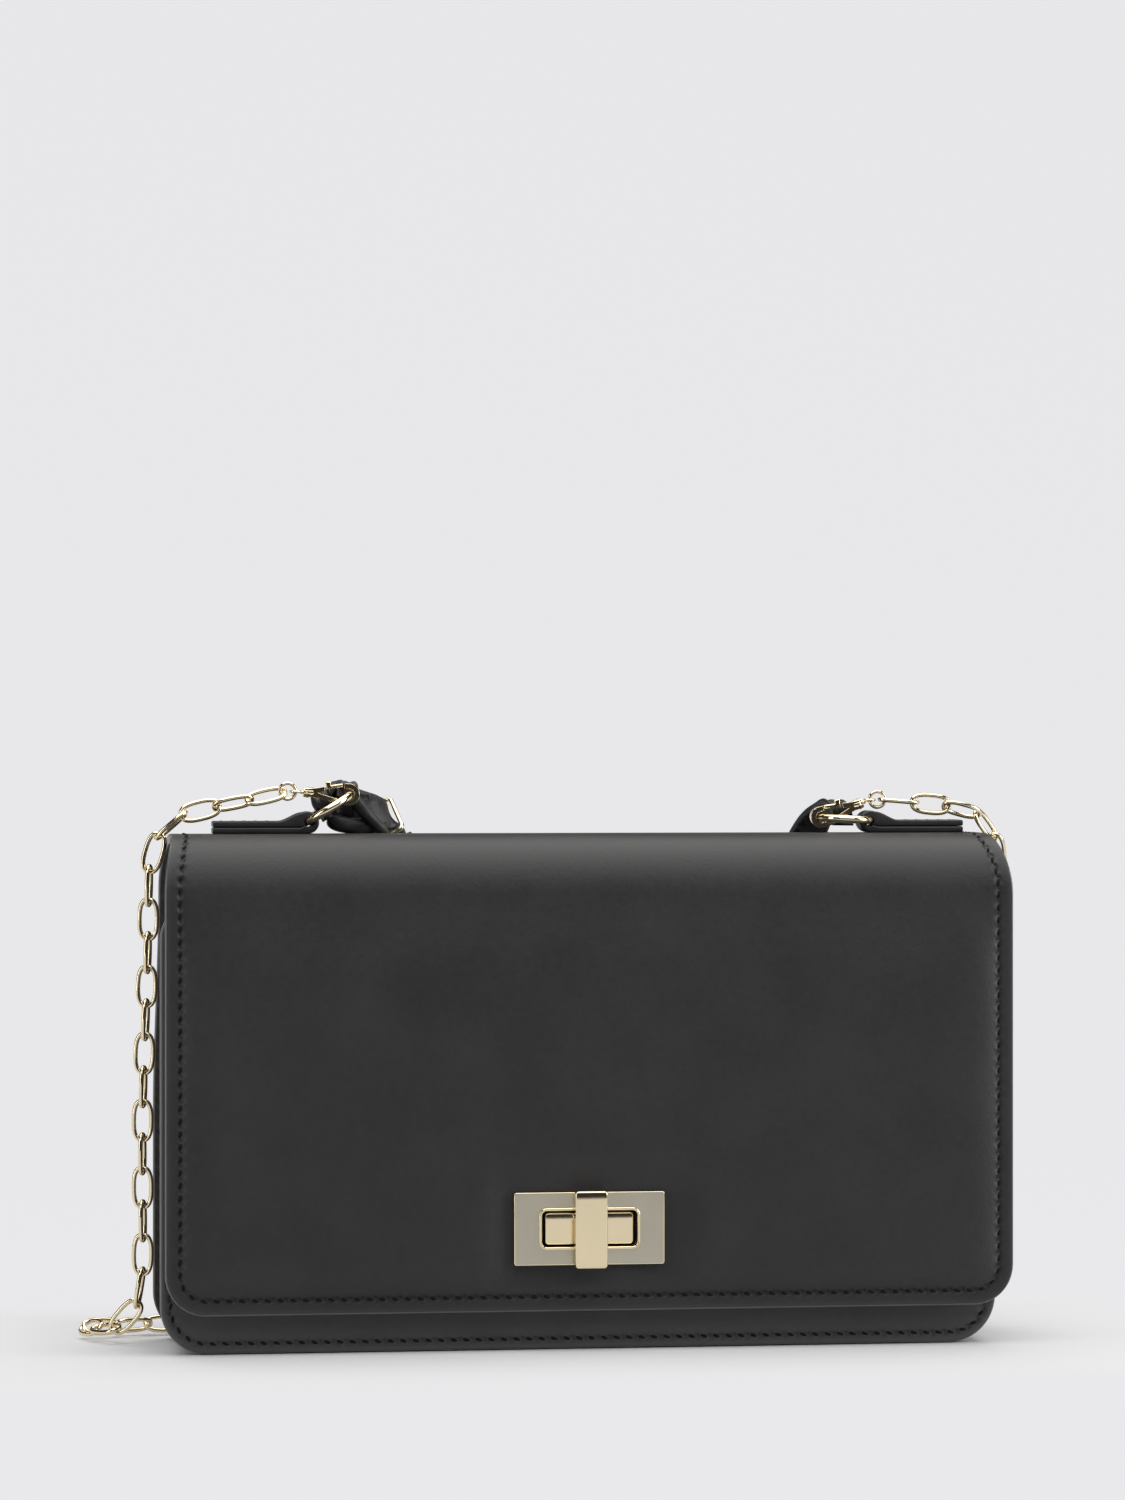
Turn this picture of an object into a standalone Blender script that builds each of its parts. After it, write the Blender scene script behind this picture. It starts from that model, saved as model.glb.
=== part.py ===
import math

import bmesh
import bpy
from mathutils import Matrix, Vector

# Wallet on chain: a small black leather flap bag with a turn lock and a detachable chain.
# Metres, +Z up, front towards -Y, origin in the middle of the flat base.

# Clearances
GAP = 0.0003
LOOSE = 0.0006
OVERRUN = 0.002
SHARP_ANGLE = math.radians(35)

# Body
BAG_HEIGHT = 0.120
BODY_DEPTH = 0.035
PANEL_WIDTH = 0.197
PANEL_ASIDE = -0.0008
PANEL_HEIGHT = 0.104
PANEL_THICK = 0.0024
PANEL_CORNER = 0.011
PANEL_TOP_CORNER = 0.008
GUSSET_HALF = 0.0969
GUSSET_ASIDE = 0.0003
GUSSET_THICK = 0.0018
GUSSET_CORNER = 0.010
LINING_THICK = 0.0008
FRONT_LINING_DROP = 0.0006
BACK_LINING_HEIGHT = 0.105
CARD_LEAF_THICK = 0.0009
CARD_LEAF_INSET = 0.003
CARD_LEAF_HEIGHTS = (0.086, 0.076, 0.066)

# Back panel, crest and fold
REAR_SHOULDER = 0.013
FOLD_Y = -0.0066
FOLD_GAP = 0.0003

# Flap
FLAP_WIDTH = 0.1984
FLAP_ASIDE = 0.0013
CREST_ASIDE = -0.0006
CREST_DRAWN_IN = 0.0023
FLAP_STAND = 0.0045
FLAP_LEATHER = 0.0015
FLAP_LINING = 0.0009
FLAP_LINING_INSET = 0.0010
FLAP_SHOULDER = 0.014
FLAP_LOW_EDGE = 0.0092
FLAP_CORNER = 0.0095
FLAP_CROWN = 0.0019
STITCH_MARGIN = 0.0035
CROWN_RISE = 0.016
PAD_EDGE_SHARE = 0.65
CROWN_ROW_SHARES = (0.35, 0.65, 1.0)
MIDDLE_ROW_SHARES = (0.34, 0.67, 1.0)
MIDDLE_COLUMN_SHARES = (0.42, 0.58, 0.72)
PADDING_LEAST = 0.0004

# Turn lock
LOCK_HEIGHT = 0.0285
PLATE_WIDTH = 0.0354
PLATE_HEIGHT = 0.0170
PLATE_THICK = 0.0010
PLATE_CORNER = 0.0006
SLOT_WIDTH = 0.0224
SLOT_HEIGHT = 0.0084
SLOT_CORNER = 0.0012
RIM_WIDTH = 0.0007
RIM_RISE = 0.0006
FLAP_BACKER_THICK = 0.0005
PLATE_RIVET_RADIUS = 0.0008
PLATE_RIVET_INSET = 0.0026
LOCK_BASE_WIDTH = 0.0208
LOCK_BASE_HEIGHT = 0.0075
LOCK_BASE_CORNER = 0.0009
LOCK_BASE_BELOW_RIM = 0.0010
BASE_RIVET_RADIUS = 0.0010
BASE_RIVET_SPACING = 0.0144
BAR_WIDTH = 0.0076
BAR_LENGTH = 0.0180
BAR_THICK = 0.0024
BAR_CLEARANCE = 0.0007
BAR_CORNER = 0.0008
POST_RADIUS = 0.0023
POST_CLEARANCE = 0.0002
BACKER_WIDTH = 0.026
BACKER_HEIGHT = 0.012
BACKER_THICK = 0.0008
CLIP_RADIUS = 0.0036
CLIP_THICK = 0.0006
PATCH_BORDER = 0.0045
PATCH_WALL = 0.0008
BACKER_WINDOW = 0.0018

# Tabs and rings on the crest
HARDWARE_Y = 0.0015
TAB_LENGTH = 0.0250
TAB_WIDTH = 0.0065
TAB_STRAP = 0.0015
TAB_FOLD_WALL = 0.0009
TAB_NECK_SHARE = 0.62
LEFT_TAB_INSET = 0.0118
RIGHT_TAB_INSET = 0.0072
RING_OUTER = 0.0142
RING_WIRE = 0.0019
LEFT_RING_TILT = math.radians(32)
RIGHT_RING_TILT = math.radians(3)

# Clasps
CLASP_LENGTH = 0.0130
CLASP_BOWL_RADIUS = 0.0026
CLASP_THICK = 0.0022
CLASP_WALL = 0.0010
CLASP_SEAT = 0.0003
CLASP_NECK = 0.0009
CLASP_TAIL_RADIUS = 0.0012
CLASP_TAIL_LENGTH = 0.0022
CLASP_BORE_RADIUS = 0.0007
CLASP_BORE_DEPTH = 0.0016
CLASP_OPENING_START = 0.0032
CLASP_OPENING_ROUND = 0.0012
CLASP_GATE_START = 0.0047
CLASP_GATE_END = 0.0093
TRIGGER_THICK = 0.0014
TRIGGER_WALL = 0.0009
TRIGGER_THUMB = 0.0011
EYE_RADIUS = 0.00115
EYE_WIRE = 0.0007
EYE_POST_RADIUS = 0.0004
JUMP_OUTER = 0.0046
JUMP_WIRE = 0.00085
LEFT_CLASP_SLOPE = math.radians(3)
RIGHT_CLASP_SLOPE = math.radians(19)
LEFT_JUMP_RISE = math.radians(4)
RIGHT_JUMP_RISE = math.radians(5)

# Chain
LINK_LENGTH = 0.01015
LINK_WIDTH = 0.0050
LINK_WIRE = 0.00095
LINK_PLAY = 0.00035
LINK_POINTS_PER_END = 6
LINK_TURNS = (12, 102)
LEFT_LINKS = 20
LEFT_FIRST_TURNS = (50, 125, 17)
RIGHT_LINKS = 5
RIGHT_FIRST_TURNS = (90, 0, 55, 140, 50)
RUN_DIAMETER = 0.0042
COIL_TURNS = 5
COIL_RADIUS = 0.027
COIL_STEP = 0.0047
COIL_CENTRE = (-0.012, 0.0535)
COIL_POINTS_PER_TURN = 24
COIL_RISE_SHARE = 0.25
RUN_STRAIGHT_SHARE = 1.2
RUN_SPACING_SHARE = 2.4
ROUTE_STEPS = 24

# Leather handle strap and its metal slide
STRAP_WIDTH = 0.0085
STRAP_THICK = 0.0022
STRAP_CLEARANCE = 0.0008
STRAP_COLUMN_SHARES = (-1.0, -0.75, 0.0, 0.75, 1.0)
STRAP_EDGE_SHARE = 0.55
SLIDE_WIRE = 0.0011
SLIDE_WIDTH = 0.0116
SLIDE_HEIGHT = 0.0052
STRAP_STEPS = 3

# Places worked out from the sizes
BACK_FACE_Y = BODY_DEPTH / 2
FRONT_FACE_Y = -BODY_DEPTH / 2
FRONT_INNER_Y = FRONT_FACE_Y + PANEL_THICK
BACK_INNER_Y = BACK_FACE_Y - PANEL_THICK
INNER_HALF = GUSSET_HALF - GUSSET_THICK - GAP
FLAP_FACE_Y = FRONT_FACE_Y - FLAP_STAND
FLAP_INNER_Y = FLAP_FACE_Y + FLAP_LEATHER + GAP + FLAP_LINING
SHOULDER_Y = FLAP_FACE_Y + FLAP_SHOULDER
SHOULDER_Z = BAG_HEIGHT - FLAP_SHOULDER
TAB_BASE_Z = BAG_HEIGHT + GAP
RING_RADIUS = (RING_OUTER - RING_WIRE) / 2
RING_BOW = RING_RADIUS - math.sqrt(RING_RADIUS**2 - (TAB_WIDTH / 2) ** 2)
LOOP_HOLE_RADIUS = RING_WIRE / 2 + RING_BOW / 2 + GAP
LOOP_RADIUS = LOOP_HOLE_RADIUS + TAB_FOLD_WALL
LOOP_CENTRE_Z = TAB_BASE_Z + LOOP_RADIUS
LOOP_CENTRE_FROM_END = TAB_LENGTH - LOOP_RADIUS
LEFT_TAB_END_X = FLAP_ASIDE - FLAP_WIDTH / 2 + LEFT_TAB_INSET
RIGHT_TAB_END_X = FLAP_ASIDE + FLAP_WIDTH / 2 - RIGHT_TAB_INSET
LEFT_LOOP_X = LEFT_TAB_END_X + LOOP_CENTRE_FROM_END
RIGHT_LOOP_X = RIGHT_TAB_END_X - LOOP_CENTRE_FROM_END
STRAP_HANG_Y = BACK_FACE_Y + STRAP_THICK / 2 + STRAP_CLEARANCE
LINK_PITCH = LINK_LENGTH - 2 * LINK_WIRE - LINK_PLAY
LINK_OVERLAP = (LINK_WIRE + LINK_PLAY) / 2
JUMP_RADIUS = (JUMP_OUTER - JUMP_WIRE) / 2
PLATE_BACK_Y = FLAP_FACE_Y - GAP
PLATE_FACE_Y = PLATE_BACK_Y - PLATE_THICK
RIM_FACE_Y = PLATE_FACE_Y - RIM_RISE
BAR_BACK_Y = RIM_FACE_Y - BAR_CLEARANCE
BASE_FACE_Y = RIM_FACE_Y + LOCK_BASE_BELOW_RIM
BACKER_FRONT_Y = FRONT_INNER_Y + GAP
BACKER_BACK_Y = BACKER_FRONT_Y + BACKER_THICK
CLIP_FRONT_Y = BACKER_BACK_Y + GAP
POST_END_Y = CLIP_FRONT_Y + CLIP_THICK + GAP

# Chain route from the left jump ring down the side to the floor
LEFT_ROUTE = (
    (-0.0739, 0.0015, 0.1287), (-0.0826, 0.0016, 0.1268), (-0.0904, 0.0018, 0.1255),
    (-0.0967, 0.0022, 0.1218), (-0.1003, 0.0026, 0.1155), (-0.1009, 0.0030, 0.1055),
    (-0.1010, 0.0034, 0.0969), (-0.1014, 0.0038, 0.0807), (-0.1020, 0.0042, 0.0649),
    (-0.1023, 0.0046, 0.0492), (-0.1022, 0.0050, 0.0327), (-0.1022, 0.0052, 0.0190),
    (-0.1030, 0.0054, 0.0110), (-0.1058, 0.0060, 0.0048), (-0.1102, 0.0078, 0.0030),
    (-0.1128, 0.0120, 0.0029), (-0.1118, 0.0172, 0.0029), (-0.1065, 0.0212, 0.0029),
    (-0.0990, 0.0235, 0.0029),
)

# Chain route from the right jump ring over the side of the crest
RIGHT_ROUTE = (
    (0.0783, 0.0015, 0.1274), (0.0857, 0.0018, 0.1268), (0.0932, 0.0022, 0.1258),
    (0.1002, 0.0034, 0.1228), (0.1034, 0.0070, 0.1162), (0.1044, 0.0105, 0.1085),
    (0.1050, 0.0135, 0.1000),
)

# Hidden run on the floor from the left corner to the coil behind
LEFT_RUN_BEND = ((-0.0905, 0.0258, 0.0024), (-0.0800, 0.0265, 0.0022), (-0.0640, 0.0265, 0.0022))

# Hidden run that hangs behind the right corner and reaches the coil
RIGHT_RUN_BEND = (
    (0.1058, 0.0190, 0.0880), (0.1060, 0.0222, 0.0760), (0.1046, 0.0238, 0.0600),
    (0.1020, 0.0245, 0.0420), (0.0992, 0.0250, 0.0250), (0.0940, 0.0255, 0.0110),
    (0.0845, 0.0260, 0.0040), (0.0710, 0.0264, 0.0022), (0.0520, 0.0265, 0.0022),
    (0.0360, 0.0265, 0.0034), (0.0220, 0.0265, 0.0060),
)

# Handle strap from the left ring over the back to the right ring: share of the way between the tabs' loops,
# place from there and from the crest, direction of its width, width share
STRAP_ROUTE = (
    (0, (0.0061, 0.00455, 0.0040), (0.85, 0, 0.53), 0.6),
    (0, (0.0049, 0.00455, 0.0059), (0.85, 0, 0.53), 0.6),
    (0, (0.0037, 0.0048, 0.0080), (0.85, 0, 0.53), 0.62),
    (0, (0.0042, 0.0070, 0.0094), (0.8, -0.2, 0.56), 0.75),
    (0, (0.0063, 0.0095, 0.0088), (0.35, -0.3, 0.89), 0.92),
    (0, (0.0096, 0.0110, 0.0072), (0, -0.25, 0.97), 1),
    (0, (0.0136, 0.0118, 0.0058), (-0.12, -0.1, 0.98), 1),
    (0, (0.0174, 0.0136, 0.0047), (-0.35, 0, 0.94), 1),
    (0, (0.0204, 0.0162, 0.0034), (-0.52, 0, 0.85), 1),
    (0, (0.0226, 0.0186, 0.0008), (-0.66, 0, 0.68), 1),
    (0, (0.0238, 0.0196, -0.0036), (-0.88, 0, 0.34), 1),
    (0.178, (0.0000, 0.0197, -0.0098), (-1, 0, 0), 1),
    (0.181, (0.0000, STRAP_HANG_Y, -0.0200), (-1, 0, 0), 1),
    (0.192, (0.0000, STRAP_HANG_Y, -0.0360), (-0.97, 0, -0.2), 1),
    (0.23, (0.0000, STRAP_HANG_Y, -0.0520), (-0.87, 0, -0.5), 1),
    (0.306, (0.0000, STRAP_HANG_Y, -0.0650), (-0.5, 0, -0.87), 1),
    (0.414, (0.0000, STRAP_HANG_Y, -0.0715), (-0.15, 0, -0.98), 1),
    (0.536, (0.0000, STRAP_HANG_Y, -0.0720), (0.15, 0, -0.98), 1),
    (0.652, (0.0000, STRAP_HANG_Y, -0.0660), (0.5, 0, -0.87), 1),
    (0.741, (0.0000, STRAP_HANG_Y, -0.0530), (0.85, 0, -0.5), 1),
    (0.799, (0.0000, STRAP_HANG_Y, -0.0360), (0.97, 0, -0.25), 1),
    (0.845, (0.0000, 0.0194, -0.0190), (0.98, 0, -0.2), 1),
    (0.888, (0.0000, 0.0192, -0.0075), (0.96, 0, -0.28), 1),
    (0.916, (0.0000, 0.0180, 0.0000), (0.95, 0.1, -0.25), 1),
    (1, (-0.0094, 0.0150, 0.0046), (0.93, 0.3, -0.15), 0.95),
    (1, (-0.0080, 0.0110, 0.0068), (0.92, 0.36, -0.05), 0.82),
    (1, (-0.0068, 0.0072, 0.0074), (0.95, 0.3, 0), 0.68),
    (1, (-0.0060, 0.0046, 0.0062), (1, 0.1, 0), 0.6),
    (1, (-0.0057, 0.00455, 0.0037), (1, 0, 0), 0.6),
    (1, (-0.0057, 0.00455, 0.0016), (1, 0, 0), 0.6),
)
SLIDE_POINT = 8

# Finishes
FINISHES = {
    "leather": ((0.028, 0.028, 0.031), 0.42, 0.0),
    "lining": ((0.045, 0.042, 0.040), 0.75, 0.0),
    "padding": ((0.30, 0.30, 0.30), 0.90, 0.0),
    "gold": ((0.78, 0.66, 0.44), 0.18, 1.0),
    "satin_gold": ((0.62, 0.58, 0.48), 0.32, 1.0),
    "steel": ((0.55, 0.55, 0.56), 0.35, 1.0),
}

# Places of the pieces in three planes
FACING_FRONT = Matrix(((1, 0, 0, 0), (0, 0, -1, 0), (0, 1, 0, 0), (0, 0, 0, 1)))
FACING_SIDE = Matrix(((0, 0, 1, 0), (1, 0, 0, 0), (0, 1, 0, 0), (0, 0, 0, 1)))


def clear_scene():
    for item in list(bpy.data.objects):
        bpy.data.objects.remove(item, do_unlink=True)


def new_collection(name):
    made = bpy.data.collections.new(name)
    bpy.context.scene.collection.children.link(made)
    return made


clear_scene()
PARTS = new_collection("wallet_on_chain")
CUTTERS = new_collection("cutters")


def finish(name):
    if name in bpy.data.materials:
        return bpy.data.materials[name]
    colour, roughness, metallic = FINISHES[name]
    made = bpy.data.materials.new(name)
    made.use_nodes = True
    shader = made.node_tree.nodes["Principled BSDF"]
    shader.inputs["Base Color"].default_value = (*colour, 1)
    shader.inputs["Roughness"].default_value = roughness
    shader.inputs["Metallic"].default_value = metallic
    return made


def smooth(mesh):
    mesh.shade_smooth()
    mesh.set_sharp_from_angle(angle=SHARP_ANGLE)


def add_piece(name, mesh, look):
    piece = bpy.data.objects.new(name, mesh)
    PARTS.objects.link(piece)
    if look and not mesh.materials:
        mesh.materials.append(finish(look))
    smooth(mesh)
    return piece


def helper(piece):
    """Moves an object that only cuts or joins out of the parts."""
    for owner in list(piece.users_collection):
        owner.objects.unlink(piece)
    CUTTERS.objects.link(piece)
    piece.hide_render = True
    piece.display_type = "WIRE"
    return piece


def cut(piece, cutter):
    change = piece.modifiers.new("cut by " + cutter.name, "BOOLEAN")
    change.operation = "DIFFERENCE"
    change.object = helper(cutter)


def trim(piece, keep):
    change = piece.modifiers.new("kept inside " + keep.name, "BOOLEAN")
    change.operation = "INTERSECT"
    change.object = helper(keep)


def join(piece, other):
    change = piece.modifiers.new("joined with " + other.name, "BOOLEAN")
    change.operation = "UNION"
    change.object = helper(other)


def face_out(work):
    """Turns every face of a closed body outwards."""
    bmesh.ops.recalc_face_normals(work, faces=work.faces)
    if work.calc_volume(signed=True) < 0:
        bmesh.ops.reverse_faces(work, faces=work.faces)


def curve_to_mesh(curve_object):
    """The evaluated mesh of a curve, with its caps welded, and the curve removed."""
    bpy.context.view_layer.update()
    graph = bpy.context.evaluated_depsgraph_get()
    mesh = bpy.data.meshes.new_from_object(curve_object.evaluated_get(graph))
    work = bmesh.new()
    work.from_mesh(mesh)
    bmesh.ops.remove_doubles(work, verts=work.verts, dist=GAP / 100)
    face_out(work)
    work.to_mesh(mesh)
    work.free()
    bpy.data.objects.remove(curve_object, do_unlink=True)
    return mesh


def outline_solid(name, loops, thickness, place, look):
    """A flat outline, with any holes as further loops, given its thickness about the plane."""
    data = bpy.data.curves.new(name, "CURVE")
    data.dimensions = "2D"
    data.fill_mode = "BOTH"
    data.extrude = thickness / 2
    for loop in loops:
        line = data.splines.new("POLY")
        line.points.add(len(loop) - 1)
        for point, (across, up) in zip(line.points, loop):
            point.co = (across, up, 0, 1)
        line.use_cyclic_u = True
    drawn = bpy.data.objects.new(name, data)
    CUTTERS.objects.link(drawn)
    mesh = curve_to_mesh(drawn)
    mesh.transform(place)
    mesh.update()
    return add_piece(name, mesh, look)


def front_place(x, y, z):
    return Matrix.Translation((x, y, z)) @ FACING_FRONT


def side_place(x, y, z):
    return Matrix.Translation((x, y, z)) @ FACING_SIDE


def arc(centre, radius, start, end, steps):
    """Points on an arc, angles in degrees."""
    made = []
    for step in range(steps + 1):
        angle = math.radians(start + (end - start) * step / steps)
        made.append((centre[0] + radius * math.cos(angle), centre[1] + radius * math.sin(angle)))
    return made


def rounded_rectangle(width, low, high, low_corner, high_corner, steps=4):
    half = width / 2
    return (
        arc((half - low_corner, low + low_corner), low_corner, -90, 0, steps)
        + arc((half - high_corner, high - high_corner), high_corner, 0, 90, steps)
        + arc((-half + high_corner, high - high_corner), high_corner, 90, 180, steps)
        + arc((-half + low_corner, low + low_corner), low_corner, 180, 270, steps)
    )


def block(name, size, centre, corner, look, steps=3):
    """A block with rounded corners as seen from the front."""
    loop = rounded_rectangle(size[0], -size[2] / 2, size[2] / 2, corner, corner, steps)
    return outline_solid(name, [loop], size[1], front_place(*centre), look)


def rod(name, radius, start, end, look, sides=20):
    start, end = Vector(start), Vector(end)
    mesh = bpy.data.meshes.new(name)
    work = bmesh.new()
    bmesh.ops.create_cone(
        work, cap_ends=True, segments=sides, radius1=radius, radius2=radius, depth=(end - start).length
    )
    turn = (end - start).to_track_quat("Z", "Y").to_matrix().to_4x4()
    bmesh.ops.transform(work, matrix=Matrix.Translation((start + end) / 2) @ turn, verts=work.verts)
    work.to_mesh(mesh)
    work.free()
    return add_piece(name, mesh, look)


def wire_mesh(name, points, diameter, closed, resolution, look):
    """A round wire through the points."""
    data = bpy.data.curves.new(name, "CURVE")
    data.dimensions = "3D"
    data.bevel_depth = diameter / 2
    data.bevel_resolution = resolution
    data.use_fill_caps = not closed
    line = data.splines.new("POLY")
    line.points.add(len(points) - 1)
    for point, place in zip(line.points, points):
        point.co = (*place, 1)
    line.use_cyclic_u = closed
    drawn = bpy.data.objects.new(name, data)
    CUTTERS.objects.link(drawn)
    mesh = curve_to_mesh(drawn)
    mesh.materials.append(finish(look))
    return mesh


def smooth_route(points, steps=ROUTE_STEPS):
    """A smooth line through the points, which it passes one after another."""
    places = [Vector(p) for p in points]
    padded = [2 * places[0] - places[1]] + places + [2 * places[-1] - places[-2]]
    line = []
    for index in range(1, len(padded) - 2):
        a, b, c, d = padded[index - 1 : index + 3]
        for step in range(steps):
            t = step / steps
            line.append(
                0.5 * (
                    (2 * b) + (c - a) * t + (2 * a - 5 * b + 4 * c - d) * t**2
                    + (3 * b - a - 3 * c + d) * t**3
                )
            )
    line.append(places[-1])
    return line


def equal_chords(line, chord, count):
    """Joints along the line, each one chord from the last."""
    joints = [line[0]]
    at = 0
    while len(joints) <= count:
        last = joints[-1]
        while at < len(line) - 1 and (line[at + 1] - last).length < chord:
            at += 1
        if at == len(line) - 1:
            joints.append(last + (line[-1] - line[-2]).normalized() * chord)
            continue
        near, far = line[at], line[at + 1]
        low, high = 0.0, 1.0
        for _ in range(40):
            middle = (low + high) / 2
            if (near.lerp(far, middle) - last).length < chord:
                low = middle
            else:
                high = middle
        joints.append(near.lerp(far, high))
    return joints


def spaced(line, spacing):
    """Every point of a line at about the same spacing, both ends kept."""
    total = sum((b - a).length for a, b in zip(line, line[1:]))
    count = max(2, round(total / spacing))
    made, walked, wanted = [line[0]], 0.0, total / count
    for a, b in zip(line, line[1:]):
        length = (b - a).length
        while len(made) < count and walked + length >= wanted * len(made):
            made.append(a.lerp(b, (wanted * len(made) - walked) / length))
        walked += length
    made.append(line[-1])
    return made


def sheet_solid(name, shares, along, surface, low, high, look):
    """A sheet on a curved surface, between two heights over it, with its edges closed."""
    work = bmesh.new()
    bmesh.ops.create_grid(work, x_segments=len(shares) - 1, y_segments=len(along) - 1, size=1)
    address = {}
    for vertex in work.verts:
        column = round((vertex.co.x + 1) / 2 * (len(shares) - 1))
        row = round((vertex.co.y + 1) / 2 * (len(along) - 1))
        address[vertex] = (shares[column], along[row])
    bottom = dict(address)
    raised = bmesh.ops.extrude_face_region(work, geom=work.faces[:], use_keep_orig=True)
    for vertex in raised["geom"]:
        if not isinstance(vertex, bmesh.types.BMVert):
            continue
        column = round((vertex.co.x + 1) / 2 * (len(shares) - 1))
        row = round((vertex.co.y + 1) / 2 * (len(along) - 1))
        share, distance = shares[column], along[row]
        vertex.co = surface(share, distance, high(share, distance))
    for vertex, (share, distance) in bottom.items():
        vertex.co = surface(share, distance, low(share, distance))
    face_out(work)
    mesh = bpy.data.meshes.new(name)
    work.to_mesh(mesh)
    work.free()
    return add_piece(name, mesh, look)


def ramp(value, start, end):
    """0 before start, 1 after end, and a smooth rise between them."""
    share = min(1.0, max(0.0, (value - start) / (end - start)))
    return share * share * (3 - 2 * share)


# Flap surface
FLAP_FLAT = FOLD_Y - FOLD_GAP - SHOULDER_Y
FLAP_ARC = FLAP_SHOULDER * math.pi / 2
FLAP_DROP = SHOULDER_Z - FLAP_LOW_EDGE
FLAP_LENGTH = FLAP_FLAT + FLAP_ARC + FLAP_DROP


def flap_profile(distance):
    """Place and outward direction on the flap's outer face, measured from the fold."""
    if distance <= FLAP_FLAT:
        return FOLD_Y - FOLD_GAP - distance, BAG_HEIGHT, 0.0, 1.0
    if distance <= FLAP_FLAT + FLAP_ARC:
        angle = (distance - FLAP_FLAT) / FLAP_SHOULDER
        away, up = -math.sin(angle), math.cos(angle)
        return SHOULDER_Y + FLAP_SHOULDER * away, SHOULDER_Z + FLAP_SHOULDER * up, away, up
    return FLAP_FACE_Y, SHOULDER_Z - (distance - FLAP_FLAT - FLAP_ARC), -1.0, 0.0


def near_fold(distance):
    return 1 - ramp(distance, 0, FLAP_FLAT + FLAP_ARC)


def flap_half_width(distance, inset):
    half, corner = FLAP_WIDTH / 2 - inset - CREST_DRAWN_IN * near_fold(distance), FLAP_CORNER - inset
    into_corner = distance - (FLAP_LENGTH - FLAP_CORNER)
    if into_corner <= 0:
        return half
    return half - corner + math.sqrt(max(0.0, corner**2 - min(into_corner, corner) ** 2))


def flap_surface(inset):
    def place(share, distance, height):
        y, z, away, up = flap_profile(distance)
        aside = FLAP_ASIDE + CREST_ASIDE * near_fold(distance)
        x = aside + share * flap_half_width(distance, inset)
        return (x, y + away * height, z + up * height)

    return place


def flap_distance(z):
    return FLAP_FLAT + FLAP_ARC + SHOULDER_Z - z


SEAT_HALF_WIDTH = PLATE_WIDTH / 2 + LOOSE
SEAT_HALF_HEIGHT = PLATE_HEIGHT / 2 + LOOSE
PAD_EDGE = STITCH_MARGIN + CROWN_RISE * PAD_EDGE_SHARE


def crown(share, distance):
    """How far the padded middle stands above the stitched margin. It is flat under the lock's plate."""
    x = FLAP_ASIDE + share * FLAP_WIDTH / 2
    z = SHOULDER_Z - (distance - FLAP_FLAT - FLAP_ARC)
    from_side = (1 - abs(share)) * FLAP_WIDTH / 2
    from_low = z - FLAP_LOW_EDGE
    sides = ramp(from_side, STITCH_MARGIN, STITCH_MARGIN + CROWN_RISE)
    ends = ramp(from_low, STITCH_MARGIN, STITCH_MARGIN + CROWN_RISE)
    top = 1 - ramp(z, SHOULDER_Z - CROWN_RISE, SHOULDER_Z)
    past_plate = max(abs(x) - SEAT_HALF_WIDTH, abs(z - LOCK_HEIGHT) - SEAT_HALF_HEIGHT)
    return FLAP_CROWN * sides * ends * top * ramp(past_plate, 0.0, CROWN_RISE / 2)


def flap_columns():
    half = FLAP_WIDTH / 2
    seat = (SEAT_HALF_WIDTH, SEAT_HALF_WIDTH + CROWN_RISE / 2)
    right = [0.0, seat[0] / half, seat[1] / half, *MIDDLE_COLUMN_SHARES]
    right += [1 - (STITCH_MARGIN + CROWN_RISE) / half, 1 - PAD_EDGE / half]
    right += [1 - (STITCH_MARGIN + CROWN_RISE / 3) / half]
    right += [1 - STITCH_MARGIN / half, 1.0]
    return [-share for share in reversed(right[1:])] + right


def flap_rows():
    rows = [0.0, FLAP_FLAT] + [FLAP_FLAT + FLAP_ARC * step / 6 for step in range(1, 7)]
    rows += [flap_distance(SHOULDER_Z - CROWN_RISE * share) for share in CROWN_ROW_SHARES]
    middle_low = LOCK_HEIGHT + SEAT_HALF_HEIGHT + CROWN_RISE / 2
    middle_high = SHOULDER_Z - CROWN_RISE
    rows += [flap_distance(middle_high + (middle_low - middle_high) * share) for share in MIDDLE_ROW_SHARES]
    rows += [flap_distance(LOCK_HEIGHT + SEAT_HALF_HEIGHT), flap_distance(LOCK_HEIGHT)]
    rows += [flap_distance(FLAP_LOW_EDGE + PAD_EDGE)]
    corner_start = FLAP_LENGTH - FLAP_CORNER
    rows += [corner_start + FLAP_CORNER * math.sin(math.radians(angle)) for angle in (0, 22.5, 45, 67.5, 90)]
    return rows


def no_height(share, distance):
    return 0.0


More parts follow.
